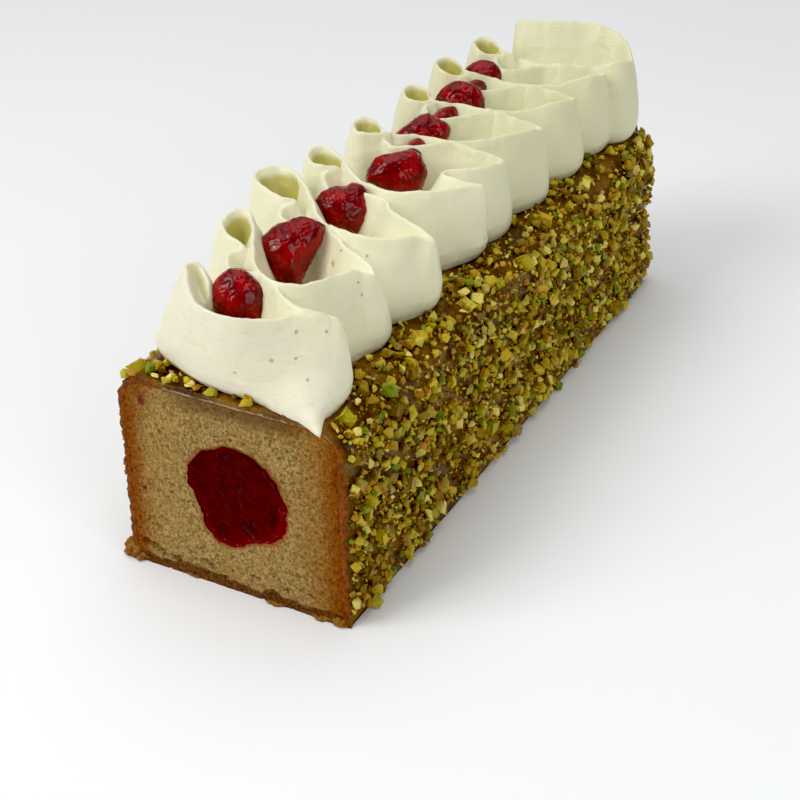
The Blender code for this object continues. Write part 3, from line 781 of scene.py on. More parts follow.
def softened(line, reach):
    # the line evened out over so many mm, its ends held
    span = max(1, round(3 * reach / cream["spacing"]))
    weights = np.exp(-0.5 * (np.arange(-span, span + 1) * cream["spacing"] / max(reach, 0.01)) ** 2)
    weights /= weights.sum()
    first, last = line[:1], line[-1:]
    before = 2 * first - line[span:0:-1]
    after = 2 * last - line[-2:-span - 2:-1]
    padded = np.concatenate((before, line, after))
    return np.column_stack([np.convolve(padded[:, axis], weights, "valid") for axis in range(line.shape[1])])


def footLine(lip):
    # middle of the wall's foot below each point of the lip
    x, y = lip[:, 0], lip[:, 1]
    across = np.where(x > 0, x * np.interp(y, *np.array(cream["rightFoot"]).T), np.maximum(0.98 * x, -25))
    along = y - 9 * np.clip(1 - (ribbonEnd[-1][1] - y) / 12, 0, 1)
    front = np.array(cream["frontFoot"])
    turning = int(np.argmax(x > 27)) + 2  # the front leg ends where the first fold turns back
    wide = np.interp(x[:turning], (-18, 28), (front[0, 0], front[-1, 0]))
    across[:turning] = wide
    along[:turning] = np.interp(wide, front[:, 0], front[:, 1])
    return np.column_stack((across, along, np.zeros(len(lip))))


def ribbonMesh():
    # the wall from its foot up to the lip, level by level, and its two ends
    lip = walkedEvenly(spline(lipGuides(), 8), cream["spacing"])
    for point in lip:
        point[2] += cream["nick"] * lumps(*point, 3.5, 3)
    foot = softened(footLine(lip), cream["footSoftness"])
    levels = []
    for share, width in zip(cream["shares"], cream["widths"]):
        line = foot + (lip - foot) * share ** 0.8
        line[:, 2] = -cream["root"] + share * (lip[:, 2] + cream["root"])
        levels.append((softened(line, cream["wallSoftness"] * (1 - share) ** 0.7 + 0.05), width))
    count = len(lip)
    fromEnd = np.minimum(np.arange(count), np.arange(count)[::-1]) + 0.5
    closing = np.minimum(1, fromEnd * cream["spacing"] / cream["rounding"])
    closing = np.sqrt(1 - (1 - closing) ** 2)
    left, right = [], []
    for line, width in levels:
        ahead = np.gradient(line, axis=0)
        side = np.column_stack((-ahead[:, 1], ahead[:, 0], np.zeros(count)))
        side /= np.maximum(np.linalg.norm(side, axis=1), 1e-6)[:, None]
        waver = cream["waver"] * np.array([lumps(*point, cream["waverSize"], 3) for point in line])
        reach = width / 2 * closing
        left.append(line + side * (reach + waver)[:, None])
        right.append(line - side * (reach - waver)[:, None])
    top = (left[-1] + right[-1]) / 2 + np.array((0, 0, 0.4))
    rings = np.stack(left + [top] + right[::-1], axis=1) + np.array((0, 0, loaf["height"]))
    size = rings.shape[1]
    faces = [tuple(range(size)), tuple(range((count - 1) * size, count * size))]
    for i in range(count - 1):
        for k in range(size):
            n = (k + 1) % size
            faces.append((i * size + k, i * size + n, (i + 1) * size + n, (i + 1) * size + k))
    mesh = newMesh("creamRibbon", rings.reshape(-1, 3), faces)
    turnOutward(mesh)
    return mesh


def barMesh():
    # the cream between the folds, below their pockets
    build = bmesh.new()
    bmesh.ops.create_cube(build, size=1.0)
    near, far = cream["barEnds"]
    for vertex in build.verts:
        vertex.co.x = (vertex.co.x * cream["barWidth"] - 1) * mm + place.x
        vertex.co.y = (far if vertex.co.y > 0 else near) * mm + place.y
        vertex.co.z = (loaf["height"] + (cream["barRise"] if vertex.co.z > 0 else -cream["root"])) * mm
    bmesh.ops.bevel(build, geom=list(build.edges), offset=5 * mm, segments=4, profile=0.5, affect="EDGES")
    return builtMesh(build, "creamBar")


def pullTail(mesh):
    # the last of the front fold runs out over the edge of the cut
    for (x, y, rise), way, reach, point in cream["pulls"]:
        start = Vector((x, y, loaf["height"] + rise)) * mm + place
        nearest = min(mesh.vertices, key=lambda vertex: (vertex.co - start).length)
        start = nearest.co.copy()
        for vertex in mesh.vertices:
            gap = (vertex.co - start).length / (reach * mm)
            if gap < 1:
                vertex.co += Vector(way) * mm * (1 - gap * gap) ** 2 * (1 - gap) ** (point - 1)


def joined(name, meshes):
    build = bmesh.new()
    for mesh in meshes:
        build.from_mesh(mesh)
    return builtMesh(build, name)


def fuse(item, voxel):
    # one even skin over overlapping closed shapes
    remesh = item.modifiers.new("fuse", "REMESH")
    remesh.mode = "VOXEL"
    remesh.voxel_size = voxel * mm
    remesh.use_smooth_shade = True
    settle(item)


def thinOut(item, triangles):
    item.data.calc_loop_triangles()
    share = triangles / len(item.data.loop_triangles)
    if share < 1:
        thin = item.modifiers.new("thin out", "DECIMATE")
        thin.ratio = share
        thin.use_collapse_triangulate = True
        settle(item)


def loafBlock(name, grow):
    # the loaf as a plain block, to cut the cream's underside
    build = bmesh.new()
    bmesh.ops.create_cube(build, size=1.0)
    half = loaf["width"] / 2 + grow
    for vertex in build.verts:
        vertex.co.x = math.copysign(half, vertex.co.x)
        vertex.co.y = loaf["length"] + grow if vertex.co.y > 0 else 0
        vertex.co.z = loaf["height"] + grow if vertex.co.z > 0 else -20
    rounded = []
    for edge in build.edges:
        middle = (edge.verts[0].co + edge.verts[1].co) / 2
        topSide = middle.z > 50 and abs(middle.x) > half - 1
        farEdge = middle.y > loaf["length"] - 1 and middle.z > -19
        if topSide or farEdge:
            rounded.append(edge)
    radius = loaf["edgeRadius"] + grow
    bmesh.ops.bevel(build, geom=rounded, offset=radius, segments=10, profile=0.5, affect="EDGES")
    for vertex in build.verts:
        if vertex.co.y < 1:
            vertex.co.y = cutAt(vertex.co.x, vertex.co.z) - grow
        vertex.co = vertex.co * mm + place
    return builtMesh(build, name)


def cutAway(item, other):
    cut = item.modifiers.new("cut away", "BOOLEAN")
    cut.operation = "DIFFERENCE"
    cut.solver = "EXACT"
    cut.object = other
    settle(item)
    bpy.data.objects.remove(other, do_unlink=True)


def openings():
    # middles of the loops that stand open at the left
    return list(cream["loops"]) + [(lx + 4.5, ly - 1.5, rise) for (lx, ly, rise), *_ in farFolds]


def markHollowShade(mesh):
    # how deep each point lies inside a loop, 0 to 1: painted shade that darkens the cream to olive-yellow
    # deep in the open loops
    values = np.zeros(len(mesh.vertices))
    for index, vertex in enumerate(mesh.vertices):
        spot = (vertex.co - place) / mm
        if spot.x > -10 or spot.z < loaf["height"] + 14:
            continue
        for x, y, rise in openings():
            inward = Vector((x - spot.x, y - spot.y, 0))
            if inward.length < cream["hollowReach"] and vertex.normal.dot(inward) > 0.3 * inward.length:
                values[index] = ease(loaf["height"] + rise - spot.z, 0.2, 2.2)
    setTone(mesh, "hollow", values)


def makeCreamFinish(mesh):
    finish = Finish("ivoryCream", Specular_IOR_Level=0.42, Subsurface_Weight=0.3, Subsurface_Scale=0.003,
                    Subsurface_Radius=(1.0, 0.85, 0.5), Coat_Weight=0.06, Coat_Roughness=0.35)
    veil = finish.grain(16, 3)
    color = finish.blend(finish.ramp(veil, 0.3, 0.72), tint(234, 231, 196), tint(242, 239, 209))
    streak = finish.grain(5, 3, 0.6, finish.stretched((1, 1, 0.25)))
    color = finish.blend(finish.ramp(streak, 0.52, 0.75) * 0.35, color, tint(229, 224, 183))
    dry = finish.ramp(finish.grain(6, 4, 0.6, finish.stretched((0.5, 1, 1.6)), offset=2.0), 0.42, 0.62)
    color = finish.blend(finish.tone("near") * (0.3 + 0.4 * dry), color, tint(238, 230, 212))
    mottle = finish.ramp(finish.grain(1.6, 4, 0.7, finish.stretched((0.4, 1, 1.4)), offset=4.0), 0.5, 0.66)
    color = finish.blend(finish.tone("near") * mottle * 0.3, color, tint(214, 206, 176))
    # painted shade: the far walls darker and greener
    color = finish.blend(finish.tone("away") * 0.5, color, tint(212, 210, 168))
    # painted shade: olive-yellow darkening deep inside the open loops
    color = finish.blend(finish.tone("hollow") * 0.9, color, tint(184, 174, 76))
    surface = bvhtree.BVHTree.FromPolygons([vertex.co for vertex in mesh.vertices],
                                           [face.vertices for face in mesh.polygons])
    pitting = 0.0
    for x, y, z, radius in cream["pits"]:
        spot = surface.find_nearest(Vector((x, y, z)) * mm + place)[0]
        gap = finish.node("ShaderNodeVectorMath", {"operation": "DISTANCE"}, {0: finish.spot(), 1: spot}, 1)
        gap = gap + 0.0006 * (finish.grain(0.8, 1, offset=radius) - 0.5)
        pitting = finish.ramp(gap, 0.2 * radius * mm, 0.9 * radius * mm, 1.0, 0.0) + pitting
    # painted shade: each pit darker and more olive than the cream around it (its dent is a real bump below)
    color = finish.blend(pitting * 0.5, color, tint(150, 144, 96))
    torn = finish.ramp(finish.grain(7, 2, offset=5.0) + 0.14 * finish.tone("near"), 0.5, 0.62)
    under = finish.relief(finish.grain(3.2, 3, 0.5), 0.3, 0.45)
    drag = finish.grain(1.2, 3, 0.65, finish.stretched((0.45, 1, 1.6)))
    under = finish.relief(drag * torn, 0.5, 0.6, under)
    under = finish.relief(1 - pitting, 0.6, 0.8, under)
    bump = finish.relief(finish.grain(0.5, 2, 0.6), 0.08, 0.35, under)
    return finish.wear(Base_Color=color, Roughness=finish.ramp(veil, 0.3, 0.7, 0.38, 0.5), Normal=bump)


def makeCream():
    item = newObject("creamRibbon", joined("creamRibbon", [ribbonMesh(), barMesh()]))
    fuse(item, cream["voxel"])
    cutAway(item, newObject("creamBed", loafBlock("creamBed", cream["bedRoom"])))
    thinOut(item, cream["triangles"])
    pullTail(item.data)
    item.data.materials.clear()
    item.data.materials.append(makeCreamFinish(item.data))
    markHollowShade(item.data)
    along = np.array([(vertex.co.y - place.y) / mm for vertex in item.data.vertices])
    setTone(item.data, "near", 1 - ease(along, 8, 24))
    # share of the painted shade on the far walls
    setTone(item.data, "away", ease(along, 100, 150))
    item.data.polygons.foreach_set("use_smooth", [True] * len(item.data.polygons))
    return dress(item, "whipped_cream", "cream")


print("cream")
creamPiece = makeCream()


# Jam drops: crinkled and wet, the far four joined by thin necks

jam = {
    # centre (x, y) and height above the loaf, depth toward the front, and the outline from there, mm
    "drops": (
        ((-5.6, 26, 20.6), 8.0,
         ((-1.8, 8.2), (2.4, 7.4), (6.5, 3.8), (8, 0.7), (7.4, -7), (5.2, -8.4), (-1.4, -7.6),
          (-5.2, -6.2), (-7.9, -1.4), (-7.9, 2.9), (-5, 6.8))),
        ((-7.5, 55.5, 21), 8.6,
         ((3.6, 10.6), (6.8, 9.9), (10.2, 7.8), (9.4, 2.9), (6.5, -1.9), (4.2, -7.4), (2.3, -11.5),
          (-1.6, -9.4), (-9, -4.7), (-10.8, -2.6), (-9.7, 2.3), (-5.8, 6.6), (-1.6, 8.6))),
        ((-8, 87, 21.2), 8.0,
         ((3.8, 8.4), (7.3, 6.5), (9, 0.8), (9, -1.5), (5.4, -8.7), (3.3, -7.7), (-3.5, -5.4),
          (-9, -1.9), (-9.2, 0.8), (-6.5, 4.8), (-1.9, 7), (1.2, 7.3))),
        ((-5.2, 117, 22), 7.8,
         ((4.6, 7), (0, 6.2), (-5.2, 5.2), (-7.4, 3.4), (-9.9, -2), (-8.5, -4), (-4.4, -6), (0.4, -7),
          (6.9, -6.4), (9, -3.4), (10.2, 0), (8.7, 3.4), (7.6, 5.8))),
        ((-11.4, 147, 22), 8.4,
         ((-9.6, -1.7), (-8.1, -4), (-5.5, -6.4), (0.4, -8.3), (5.7, -6.2), (8.3, -2.1), (9.8, 1.3),
          (9, 4), (4.7, 6.4), (2, 7.6), (-2, 6.2), (-5.5, 3.6), (-8.4, 1))),
        ((-12, 176, 23), 8.6,
         ((-9, -1), (-7, -5.5), (-1, -7.5), (5, -6.5), (9, -2), (9, 3), (5, 7), (-1, 8), (-6, 5))),
        ((-15, 201, 23), 7.4,
         ((-8, 0), (-5, -5.5), (1, -6.8), (6, -4.5), (8, 1), (5, 5.5), (-1, 6.8), (-5.5, 4.5))),
    ),
    "firstJoined": 3,
    "boxiness": 0.82,
    "wrinkle": 0.24,
    "wrinkleSize": 2.6,
    "wrinkleWide": 0.22,
    "swell": 0.5,
    "swellSize": 6.0,
    "ripple": 0.24,
    "rippleSize": 1.9,
    "neckRadius": 3.6,
    "neckShift": (2.5, 0, 1.5),
    "voxel": 0.22,
    "triangles": 44000,
    "chainVoxel": 0.26,
    "chainTriangles": 120000,
}


def outlineReach(outline):
    # distance from the middle to the outline for each of 360 directions
    closed = list(outline[-2:]) + list(outline) + list(outline[:3])
    curve = spline([(x, y, 0) for x, y in closed], 12)
    angles = np.unwrap(np.arctan2(curve[:, 1], curve[:, 0]))
    if angles[-1] < angles[0]:
        angles, curve = angles[::-1], curve[::-1]
    order = np.argsort(angles)
    ways = np.radians(np.arange(360))
    first = angles.min()
    turned = first + (ways - first) % (2 * math.pi)
    return np.interp(turned, angles[order], np.hypot(curve[order, 0], curve[order, 1]))


def dropMesh(index):
    # a round solid with the drop's outline, wrinkled all over
    (x, y, rise), depth, outline = jam["drops"][index]
    reach = outlineReach(outline)
    right, up, toward = viewAxes()
    middle = Vector((x, y, loaf["height"] + rise))
    build = bmesh.new()
    bmesh.ops.create_icosphere(build, subdivisions=6, radius=1.0)
    for vertex in build.verts:
        way = vertex.co.normalized()
        flat = math.hypot(way.x, way.y)
        turn = round(math.degrees(math.atan2(way.y, way.x))) % 360
        far = reach[turn] * flat ** (jam["boxiness"] - 1) if flat > 1e-4 else 0.0
        ahead = math.copysign(abs(way.z) ** jam["boxiness"], way.z) * depth
        point = right * (way.x * far) + up * (way.y * far) + toward * ahead
        out = (right * way.x + up * way.y + toward * way.z).normalized()
        seed = Vector((index * 9.0, 4.0, index * 2.0))
        wrinkle = abs(noise.noise(point / jam["wrinkleSize"] + seed))
        wrinkle = max(0.0, 1 - wrinkle / jam["wrinkleWide"]) ** 1.5
        broad = noise.noise(point / jam["swellSize"] + seed)
        ripple = noise.fractal(point / jam["rippleSize"] + seed, 1.0, 2.0, 2)
        point += out * (jam["swell"] * broad - jam["wrinkle"] * wrinkle + jam["ripple"] * ripple)
        vertex.co = (middle + point) * mm + place
    return builtMesh(build, "jamDrop")


def neckMesh(index):
    # a thin neck from one drop to the next
    start, finish = Vector(jam["drops"][index][0]), Vector(jam["drops"][index + 1][0])
    between = finish - start
    radius = jam["neckRadius"]
    over, along, up = jam["neckShift"]
    shift = Vector((over, along, loaf["height"] + up))
    build = bmesh.new()
    bmesh.ops.create_uvsphere(build, u_segments=40, v_segments=24, radius=1.0)
    turn = between.to_track_quat("Z", "Y").to_matrix()
    for vertex in build.verts:
        point = Vector((vertex.co.x * radius, vertex.co.y * radius, vertex.co.z * between.length * 0.5))
        point = turn @ point + (start + finish) / 2 + shift
        point += vertex.co.normalized() * 0.6 * noise.noise(point / 2.4)
        vertex.co = point * mm + place
    return builtMesh(build, "jamNeck")


def makeJamFinish():
    finish = Finish("raspberryJam", Specular_IOR_Level=0.3)
    pulp = finish.grain(2.8, 3, 0.55)
    color = finish.blend(finish.ramp(pulp, 0.34, 0.7), tint(96, 0, 3), tint(158, 0, 8))
    seed = finish.ramp(finish.cells(2.3), 0.12, 0.2)
    color = finish.blend((1 - seed) * 0.25, color, tint(166, 24, 24))
    under = finish.relief(finish.grain(1.7, 2, 0.5), 0.5, 0.45)
    bump = finish.relief(finish.grain(0.8, 2, 0.5, offset=1.0), 0.2, 0.5, under)
    return finish.wear(Base_Color=color, Roughness=finish.ramp(pulp, 0.3, 0.7, 0.05, 0.12), Normal=bump)


def makeJam():
    wet = makeJamFinish()
    for index in range(jam["firstJoined"]):
        item = newObject("jamDrop{}".format(index + 1), dropMesh(index), wet)
        fuse(item, jam["voxel"])
        thinOut(item, jam["triangles"])
        dress(item, "raspberry_jam", "jam_drop_{}".format(index + 1))
    last = range(jam["firstJoined"], len(jam["drops"]))
    meshes = [dropMesh(index) for index in last] + [neckMesh(index) for index in last[:-1]]
    item = newObject("jamChain", joined("jamChain", meshes), wet)
    fuse(item, jam["chainVoxel"])
    thinOut(item, jam["chainTriangles"])
    item.data.materials.clear()
    item.data.materials.append(wet)
    dress(item, "raspberry_jam", "jam_chain")


print("jam")
makeJam()


# Glaze: a thin brown shell over the sides, top and far end, open underneath and at the cut

glaze = {
    "around": 262,
    "along": 236,
    "rimRings": 5,
    "sag": 0.42,
    "blister": 0.2,
    "slant": 30,  # length over which the rows follow the cut
    "rimRough": (0.9, 0.7, 0.35),  # first rows behind the cut
    "rimBrown": (0.7, 0.5, 0.2),
}


def glazeRelief(x, y, z):
    return glaze["sag"] * lumps(x, y, z, 9.0, 2) + glaze["blister"] * lumps(x, y, z, 2.2, 2)


def glazeGrid():
    # outer skin row by row from the cut to the far end, then closing over it
    length, radius = loaf["length"], loaf["edgeRadius"]
    spots = list(np.linspace(0, length - radius, glaze["along"]))
    rows = [(spot, 0.0, 1.0) for spot in spots]
    for turn in np.linspace(0.12, math.pi / 2, 13):
        rows.append((length - radius + radius * math.sin(turn), radius * (1 - math.cos(turn)), 1.0))
    rows += [(length, radius, shrink) for shrink in np.linspace(0.95, 0.03, 40)]
    grid = []
    for along, draw, shrink in rows:
        line = evenly(archLine(draw), glaze["around"])
        row = []
        for x, z in line * shrink:
            y = along
            if along < glaze["slant"]:
                y = along + cutAt(x, z) * (1 - along / glaze["slant"])
            row.append(Vector((x, y, z)))
        grid.append(row)
    return grid


def gridNormals(grid):
    array = np.array([[tuple(point) for point in row] for row in grid])
    down = np.gradient(array, axis=0)
    over = np.gradient(array, axis=1)
    normal = np.cross(over, down)
    size = np.linalg.norm(normal, axis=2, keepdims=True)
    return normal / np.maximum(size, 1e-9)


def bridge(first, second):
    # triangles between two lines of point numbers with different counts
    faces = []
    i = j = 0
    while i < len(first) - 1 or j < len(second) - 1:
        ahead = (i + 1) / len(first) if i < len(first) - 1 else 2
        other = (j + 1) / len(second) if j < len(second) - 1 else 2
        if ahead <= other:
            faces.append((first[i], first[i + 1], second[j]))
            i += 1
        else:
            faces.append((first[i], second[j + 1], second[j]))
            j += 1
    return faces


def makeGlazeFinish():
    finish = Finish("nutGlaze", Specular_IOR_Level=0.08, Coat_Weight=0.2, Coat_Roughness=0.1)
    broad = finish.grain(7, 3)
    fine = finish.grain(0.9, 4, 0.68)
    color = finish.blend(finish.ramp(broad, 0.36, 0.66), tint(70, 36, 0), tint(128, 86, 14))
    color = finish.blend(finish.ramp(fine, 0.5, 0.75) * 0.55, color, tint(148, 108, 34))
    color = finish.blend((1 - finish.ramp(fine, 0.3, 0.48)) * 0.6, color, tint(34, 14, 0))
    crust = finish.blend(finish.ramp(fine, 0.3, 0.7), tint(84, 34, 0), tint(150, 80, 16))
    cut = finish.ramp(finish.tone("cut") + 1.1 * (finish.grain(2.2, 4, 0.7, offset=6.0) - 0.5), 0.3, 0.9)
    color = finish.blend(cut, color, crust)
    # painted highlight: a pale broken line along the glaze's rounded top edge at the cut
    sugar = finish.ramp(finish.tone("sugar") + 2.8 * (finish.grain(3.4, 5, 0.75) - 0.5), 0.6, 1.1)
    color = finish.blend(sugar * 0.6, color, tint(204, 180, 150))
    bump = finish.relief(fine, 0.4, 0.6)
    dull = finish.ramp(finish.tone("cut"), 0, 1, 0.32, 0.85)
    return finish.wear(Base_Color=color, Roughness=dull, Normal=bump)


def makeGlaze():
    grid = glazeGrid()
    normals = gridNormals(grid)
    count = glaze["around"]
    points, tone, sugar = [], [], []
    for i, row in enumerate(grid):
        for j, point in enumerate(row):
            push = glazeRelief(*point) * min(1.0, (i + 1) / 4)
            if i < len(glaze["rimRough"]):
                push += glaze["rimRough"][i] * lumps(point.x, 4.4, point.z, 1.7, 4)
            way = Vector(normals[i][j])
            if j in (0, count - 1):
                way.z = 0
            moved = point + way * push
            moved.z = max(moved.z, 0.0)
            if i == 0:
                moved.y += 0.35 * lumps(point.x, 1.7, point.z, 2.0, 3) + 0.3
            points.append(tuple(moved))
            side = 1 - float(ease(point.z, loaf["height"] - 6, loaf["height"] - 3))
            tone.append(glaze["rimBrown"][i] * side if i < len(glaze["rimBrown"]) else 0.0)
            sugar.append(0.0)
    faces = []
    for i in range(len(grid) - 1):
        for j in range(count - 1):
            a, b = i * count + j, (i + 1) * count + j
            faces.append((a, a + 1, b + 1, b))
    carrier = newMesh("glazeCarrier", points, faces)
    outer = list(points)

    # inner skin: few rows, the same number of points around
    innerLine = evenly(archLine(loaf["glaze"] - 0.02), count)
    back = loaf["length"] - loaf["glaze"]
    radius = loaf["edgeRadius"] - loaf["glaze"]
    rim = []
    for ring in range(1, glaze["rimRings"] + 1):
        share = ring / glaze["rimRings"]
        start = len(points)
        for j in range(count):
            ox, _, oz = outer[j]
            x, z = ox + (innerLine[j][0] - ox) * share, oz + (innerLine[j][1] - oz) * share
            points.append((x, cutAt(x, z) + crumb["uneven"] * cutRough(x, z), z))
            onTop = float(ease(z, loaf["height"] - 6, loaf["height"] - 3) * ease(x, -27, -20))
            tone.append(1 - 0.85 * onTop)
            # where the painted highlight lies along the top edge of the cut
            sugar.append(onTop * float(ease(share, 0.45, 0.85)))
        rim.append(start)
    innerRows = [rim[-1]]
    sections = [(8.0, 0.0, 1.0), (back - radius, 0.0, 1.0)]
    sections += [(back - radius + radius * math.sin(turn), radius * (1 - math.cos(turn)), 1.0)
                 for turn in (0.4, 0.8, 1.2, 1.57)]
    sections += [(back, radius, 0.5), (back, radius, 0.05)]
    for along, draw, shrink in sections:
        innerRows.append(len(points))
        for x, z in evenly(archLine(loaf["glaze"] + draw), count) * shrink:
            points.append((x, along, z))
            tone.append(0.0)
            sugar.append(0.0)
    for start, following in zip([0] + rim[:-1], rim):
        for j in range(count - 1):
            faces.append((start + j + 1, start + j, following + j, following + j + 1))
    for start, following in zip(innerRows[:-1], innerRows[1:]):
        for j in range(count - 1):
            faces.append((start + j + 1, start + j, following + j, following + j + 1))
    # close the two ends of the fans and the rim that stands on the floor
    lastOuter = (len(grid) - 1) * count
    faces.append(tuple(lastOuter + j for j in range(count)))
    faces.append(tuple(innerRows[-1] + j for j in range(count))[::-1])
    for j in (0, count - 1):
        outerLine = [i * count + j for i in range(len(grid))]
        innerSide = [row + j for row in rim + innerRows[1:]]
        strip = bridge(outerLine, innerSide)
        faces += strip if j == 0 else [face[::-1] for face in strip]
    outerEnds = (lastOuter, lastOuter + count - 1)
    innerEnds = (innerRows[-1], innerRows[-1] + count - 1)
    faces.append((outerEnds[0], outerEnds[1], innerEnds[1], innerEnds[0]))
    mesh = newMesh("glazeShell", points, faces)
    turnOutward(mesh)
    setTone(mesh, "cut", tone)
    setTone(mesh, "sugar", sugar)
    item = newObject("glazeShell", mesh, makeGlazeFinish())
    dress(item, "nut_glaze", "nut_glaze")
    return carrier


print("glaze")
carrierMesh = makeGlaze()


# Chopped nuts: the large ones laid at random, clear of the cream and of each other, the rest strewn over the
# glaze

largeNuts = {
    "count": 212,
    "largest": 2.7,
    "smallest": 1.2,
    "bed": 1.0,
    "seed": 41,
    "edge": 0.16,  # rounding of the edges, as a share of the size
    "tries": 34,  # places looked at for each piece
    "shadeSeed": 3,
}


def surfaceSpots(chance, count):
    # random places on the sides, the rounded edges, the top and the far end, with the way out
    half, length, height, radius = loaf["width"] / 2, loaf["length"], loaf["height"], loaf["edgeRadius"]
    for _ in range(count):
        face = chance.random()
        if face < 0.36:
            side = 1 if chance.random() < 0.5 else -1
            spot = (side * half, chance.uniform(8, length - 5), chance.uniform(3, height - radius))
            yield Vector(spot), Vector((side, 0, 0))
        elif face < 0.62:
            side = 1 if chance.random() < 0.5 else -1
            angle = chance.uniform(0.1, 1.4)
            outward = Vector((side * math.cos(angle), 0, math.sin(angle)))
            centre = Vector((side * (half - radius), chance.uniform(9, length - 9), height - radius))
            yield centre + outward * radius, outward
        elif face < 0.85:
            spot = (chance.uniform(-1, 1) * (half - radius), chance.uniform(7, length - 9), height)
            yield Vector(spot), Vector((0, 0, 1))
        else:
            spot = (chance.uniform(-1, 1) * (half - 9), length, chance.uniform(3, height - radius))
            yield Vector(spot), Vector((0, 1, 0))


def choppedPiece(build, point, outward, radius, chance):
    # an angular lump bedded in the glaze, its edges worn
    made = bmesh.ops.create_cube(build, size=1.5)
    long, flat = chance.uniform(1.0, 1.35), chance.uniform(0.6, 0.9)
    turn = outward.to_track_quat("Z", "Y").to_matrix() @ Matrix.Rotation(chance.uniform(0, 6.28), 3, "Z")
    for vertex in made["verts"]:
        jitter = chance.uniform(0.72, 1.18)
        shape = Vector((vertex.co.x * long, vertex.co.y * 0.8, vertex.co.z * flat)) * jitter * radius
        vertex.co = (turn @ shape + point + outward * (radius * flat - largeNuts["bed"])) * mm + place
    edges = list({edge for vertex in made["verts"] for edge in vertex.link_edges})
    bmesh.ops.bevel(build, geom=edges, offset=largeNuts["edge"] * radius * mm, segments=1, profile=0.6,
                    affect="EDGES")


def makeNutFinish(name, stops):
    # stops: (share, colour) from one piece to the next
    finish = Finish(name, Roughness=0.42, Specular_IOR_Level=0.22)
    pick = finish.node("ShaderNodeValToRGB", {"stops": [(spot, tint(*color)) for spot, color in stops]},
                       {"Fac": finish.tone("tone")})
    mottle = finish.grain(1.1, 3, 0.6)
    color = finish.blend(finish.ramp(mottle, 0.35, 0.7) * 0.3, pick, tint(204, 172, 60))
    color = finish.blend((1 - finish.ramp(mottle, 0.28, 0.5)) * 0.6, color, tint(84, 48, 0))
    bump = finish.relief(finish.grain(0.45, 3, 0.65), 0.18, 0.6)
    return finish.wear(Base_Color=color, Roughness=finish.ramp(mottle, 0.3, 0.7, 0.32, 0.6), Normal=bump)


nutColors = {
    "kernel": ((0.0, (92, 62, 0)), (0.22, (152, 118, 8)), (0.42, (208, 178, 44)), (0.6, (166, 158, 24)),
               (0.78, (246, 230, 122)), (0.88, (118, 84, 4)), (1.0, (218, 206, 74))),
    "green": ((0.0, (76, 104, 6)), (0.5, (122, 140, 22)), (1.0, (62, 122, 16))),
    "roasted": ((0.0, (112, 60, 2)), (0.5, (168, 104, 16)), (1.0, (202, 150, 54))),
}


def makeLargeNuts():
    chance = random.Random(largeNuts["seed"])
    solid = bmesh.new()
    solid.from_mesh(frame["nodes"]["cream"].data)
    for vertex in solid.verts:
        vertex.co = (vertex.co - place) / mm
    clear = bvhtree.BVHTree.FromBMesh(solid)
    solid.free()
    build = bmesh.new()
    placed, owners = [], []
    for number in range(largeNuts["count"]):
        share = number / largeNuts["count"]
        radius = largeNuts["largest"] + (largeNuts["smallest"] - largeNuts["largest"]) * share ** 0.7
        best = None
        for point, outward in surfaceSpots(chance, largeNuts["tries"]):
            if clear.find_nearest(point)[3] < 2.1 * radius:
                continue
            room = min(((point - spot).length - size for spot, size in placed), default=1000.0)
            if best is None or room > best[0]:
                best = (room, point, outward)
        if best and best[0] > radius * 1.15:
            _, point, outward = best
            if point.z < radius * 1.5 + 1 and outward.z < 0.5:
                point = Vector((point.x, point.y, radius * 1.5 + 1))
            placed.append((point, radius))
            choppedPiece(build, point, outward, radius, chance)
            owners.append(len(build.verts))
    mesh = builtMesh(build, "largeNuts")
    shade = random.Random(largeNuts["shadeSeed"])
    values, before = [], 0
    for end in owners:
        values += [shade.random()] * (end - before)
        before = end
    setTone(mesh, "tone", values)
    item = newObject("largeNuts", mesh, makeNutFinish("nutKernel", nutColors["kernel"]), smooth=False)
    print("  large nuts placed:", len(placed))
    return dress(item, "nut_glaze")


# Geometry nodes: strew pieces over the carrier

class Strewing:
    # a geometry tree with named inputs
    def __init__(self, name):
        self.tree = bpy.data.node_groups.new(name, "GeometryNodeTree")
        self.sockets = {}
        self.entry = self.tree.nodes.new("NodeGroupInput")
        self.exit = self.tree.nodes.new("NodeGroupOutput")
        self.tree.interface.new_socket("Geometry", in_out="OUTPUT", socket_type="NodeSocketGeometry")

    def ask(self, name, kind):
        self.sockets[name] = self.tree.interface.new_socket(name, in_out="INPUT", socket_type=kind).identifier
        return self.entry.outputs[name]

    def node(self, kind, settings=None, inputs=None, output=0):
        made = self.tree.nodes.new(kind)
        for key, value in (settings or {}).items():
            setattr(made, key, value)
        for key, value in (inputs or {}).items():
            if isinstance(value, bpy.types.NodeSocket):
                self.tree.links.new(value, made.inputs[key])
            else:
                made.inputs[key].default_value = value
        return made.outputs[output]

    def chance(self, low, high, seed, kind="FLOAT"):
        outputs = {"FLOAT_VECTOR": 0, "FLOAT": 1, "INT": 2}
        first, last = {"FLOAT_VECTOR": (0, 1), "FLOAT": (2, 3), "INT": (4, 5)}[kind]
        return self.node("FunctionNodeRandomValue", {"data_type": kind}, {first: low, last: high, 8: seed},
                         outputs[kind])


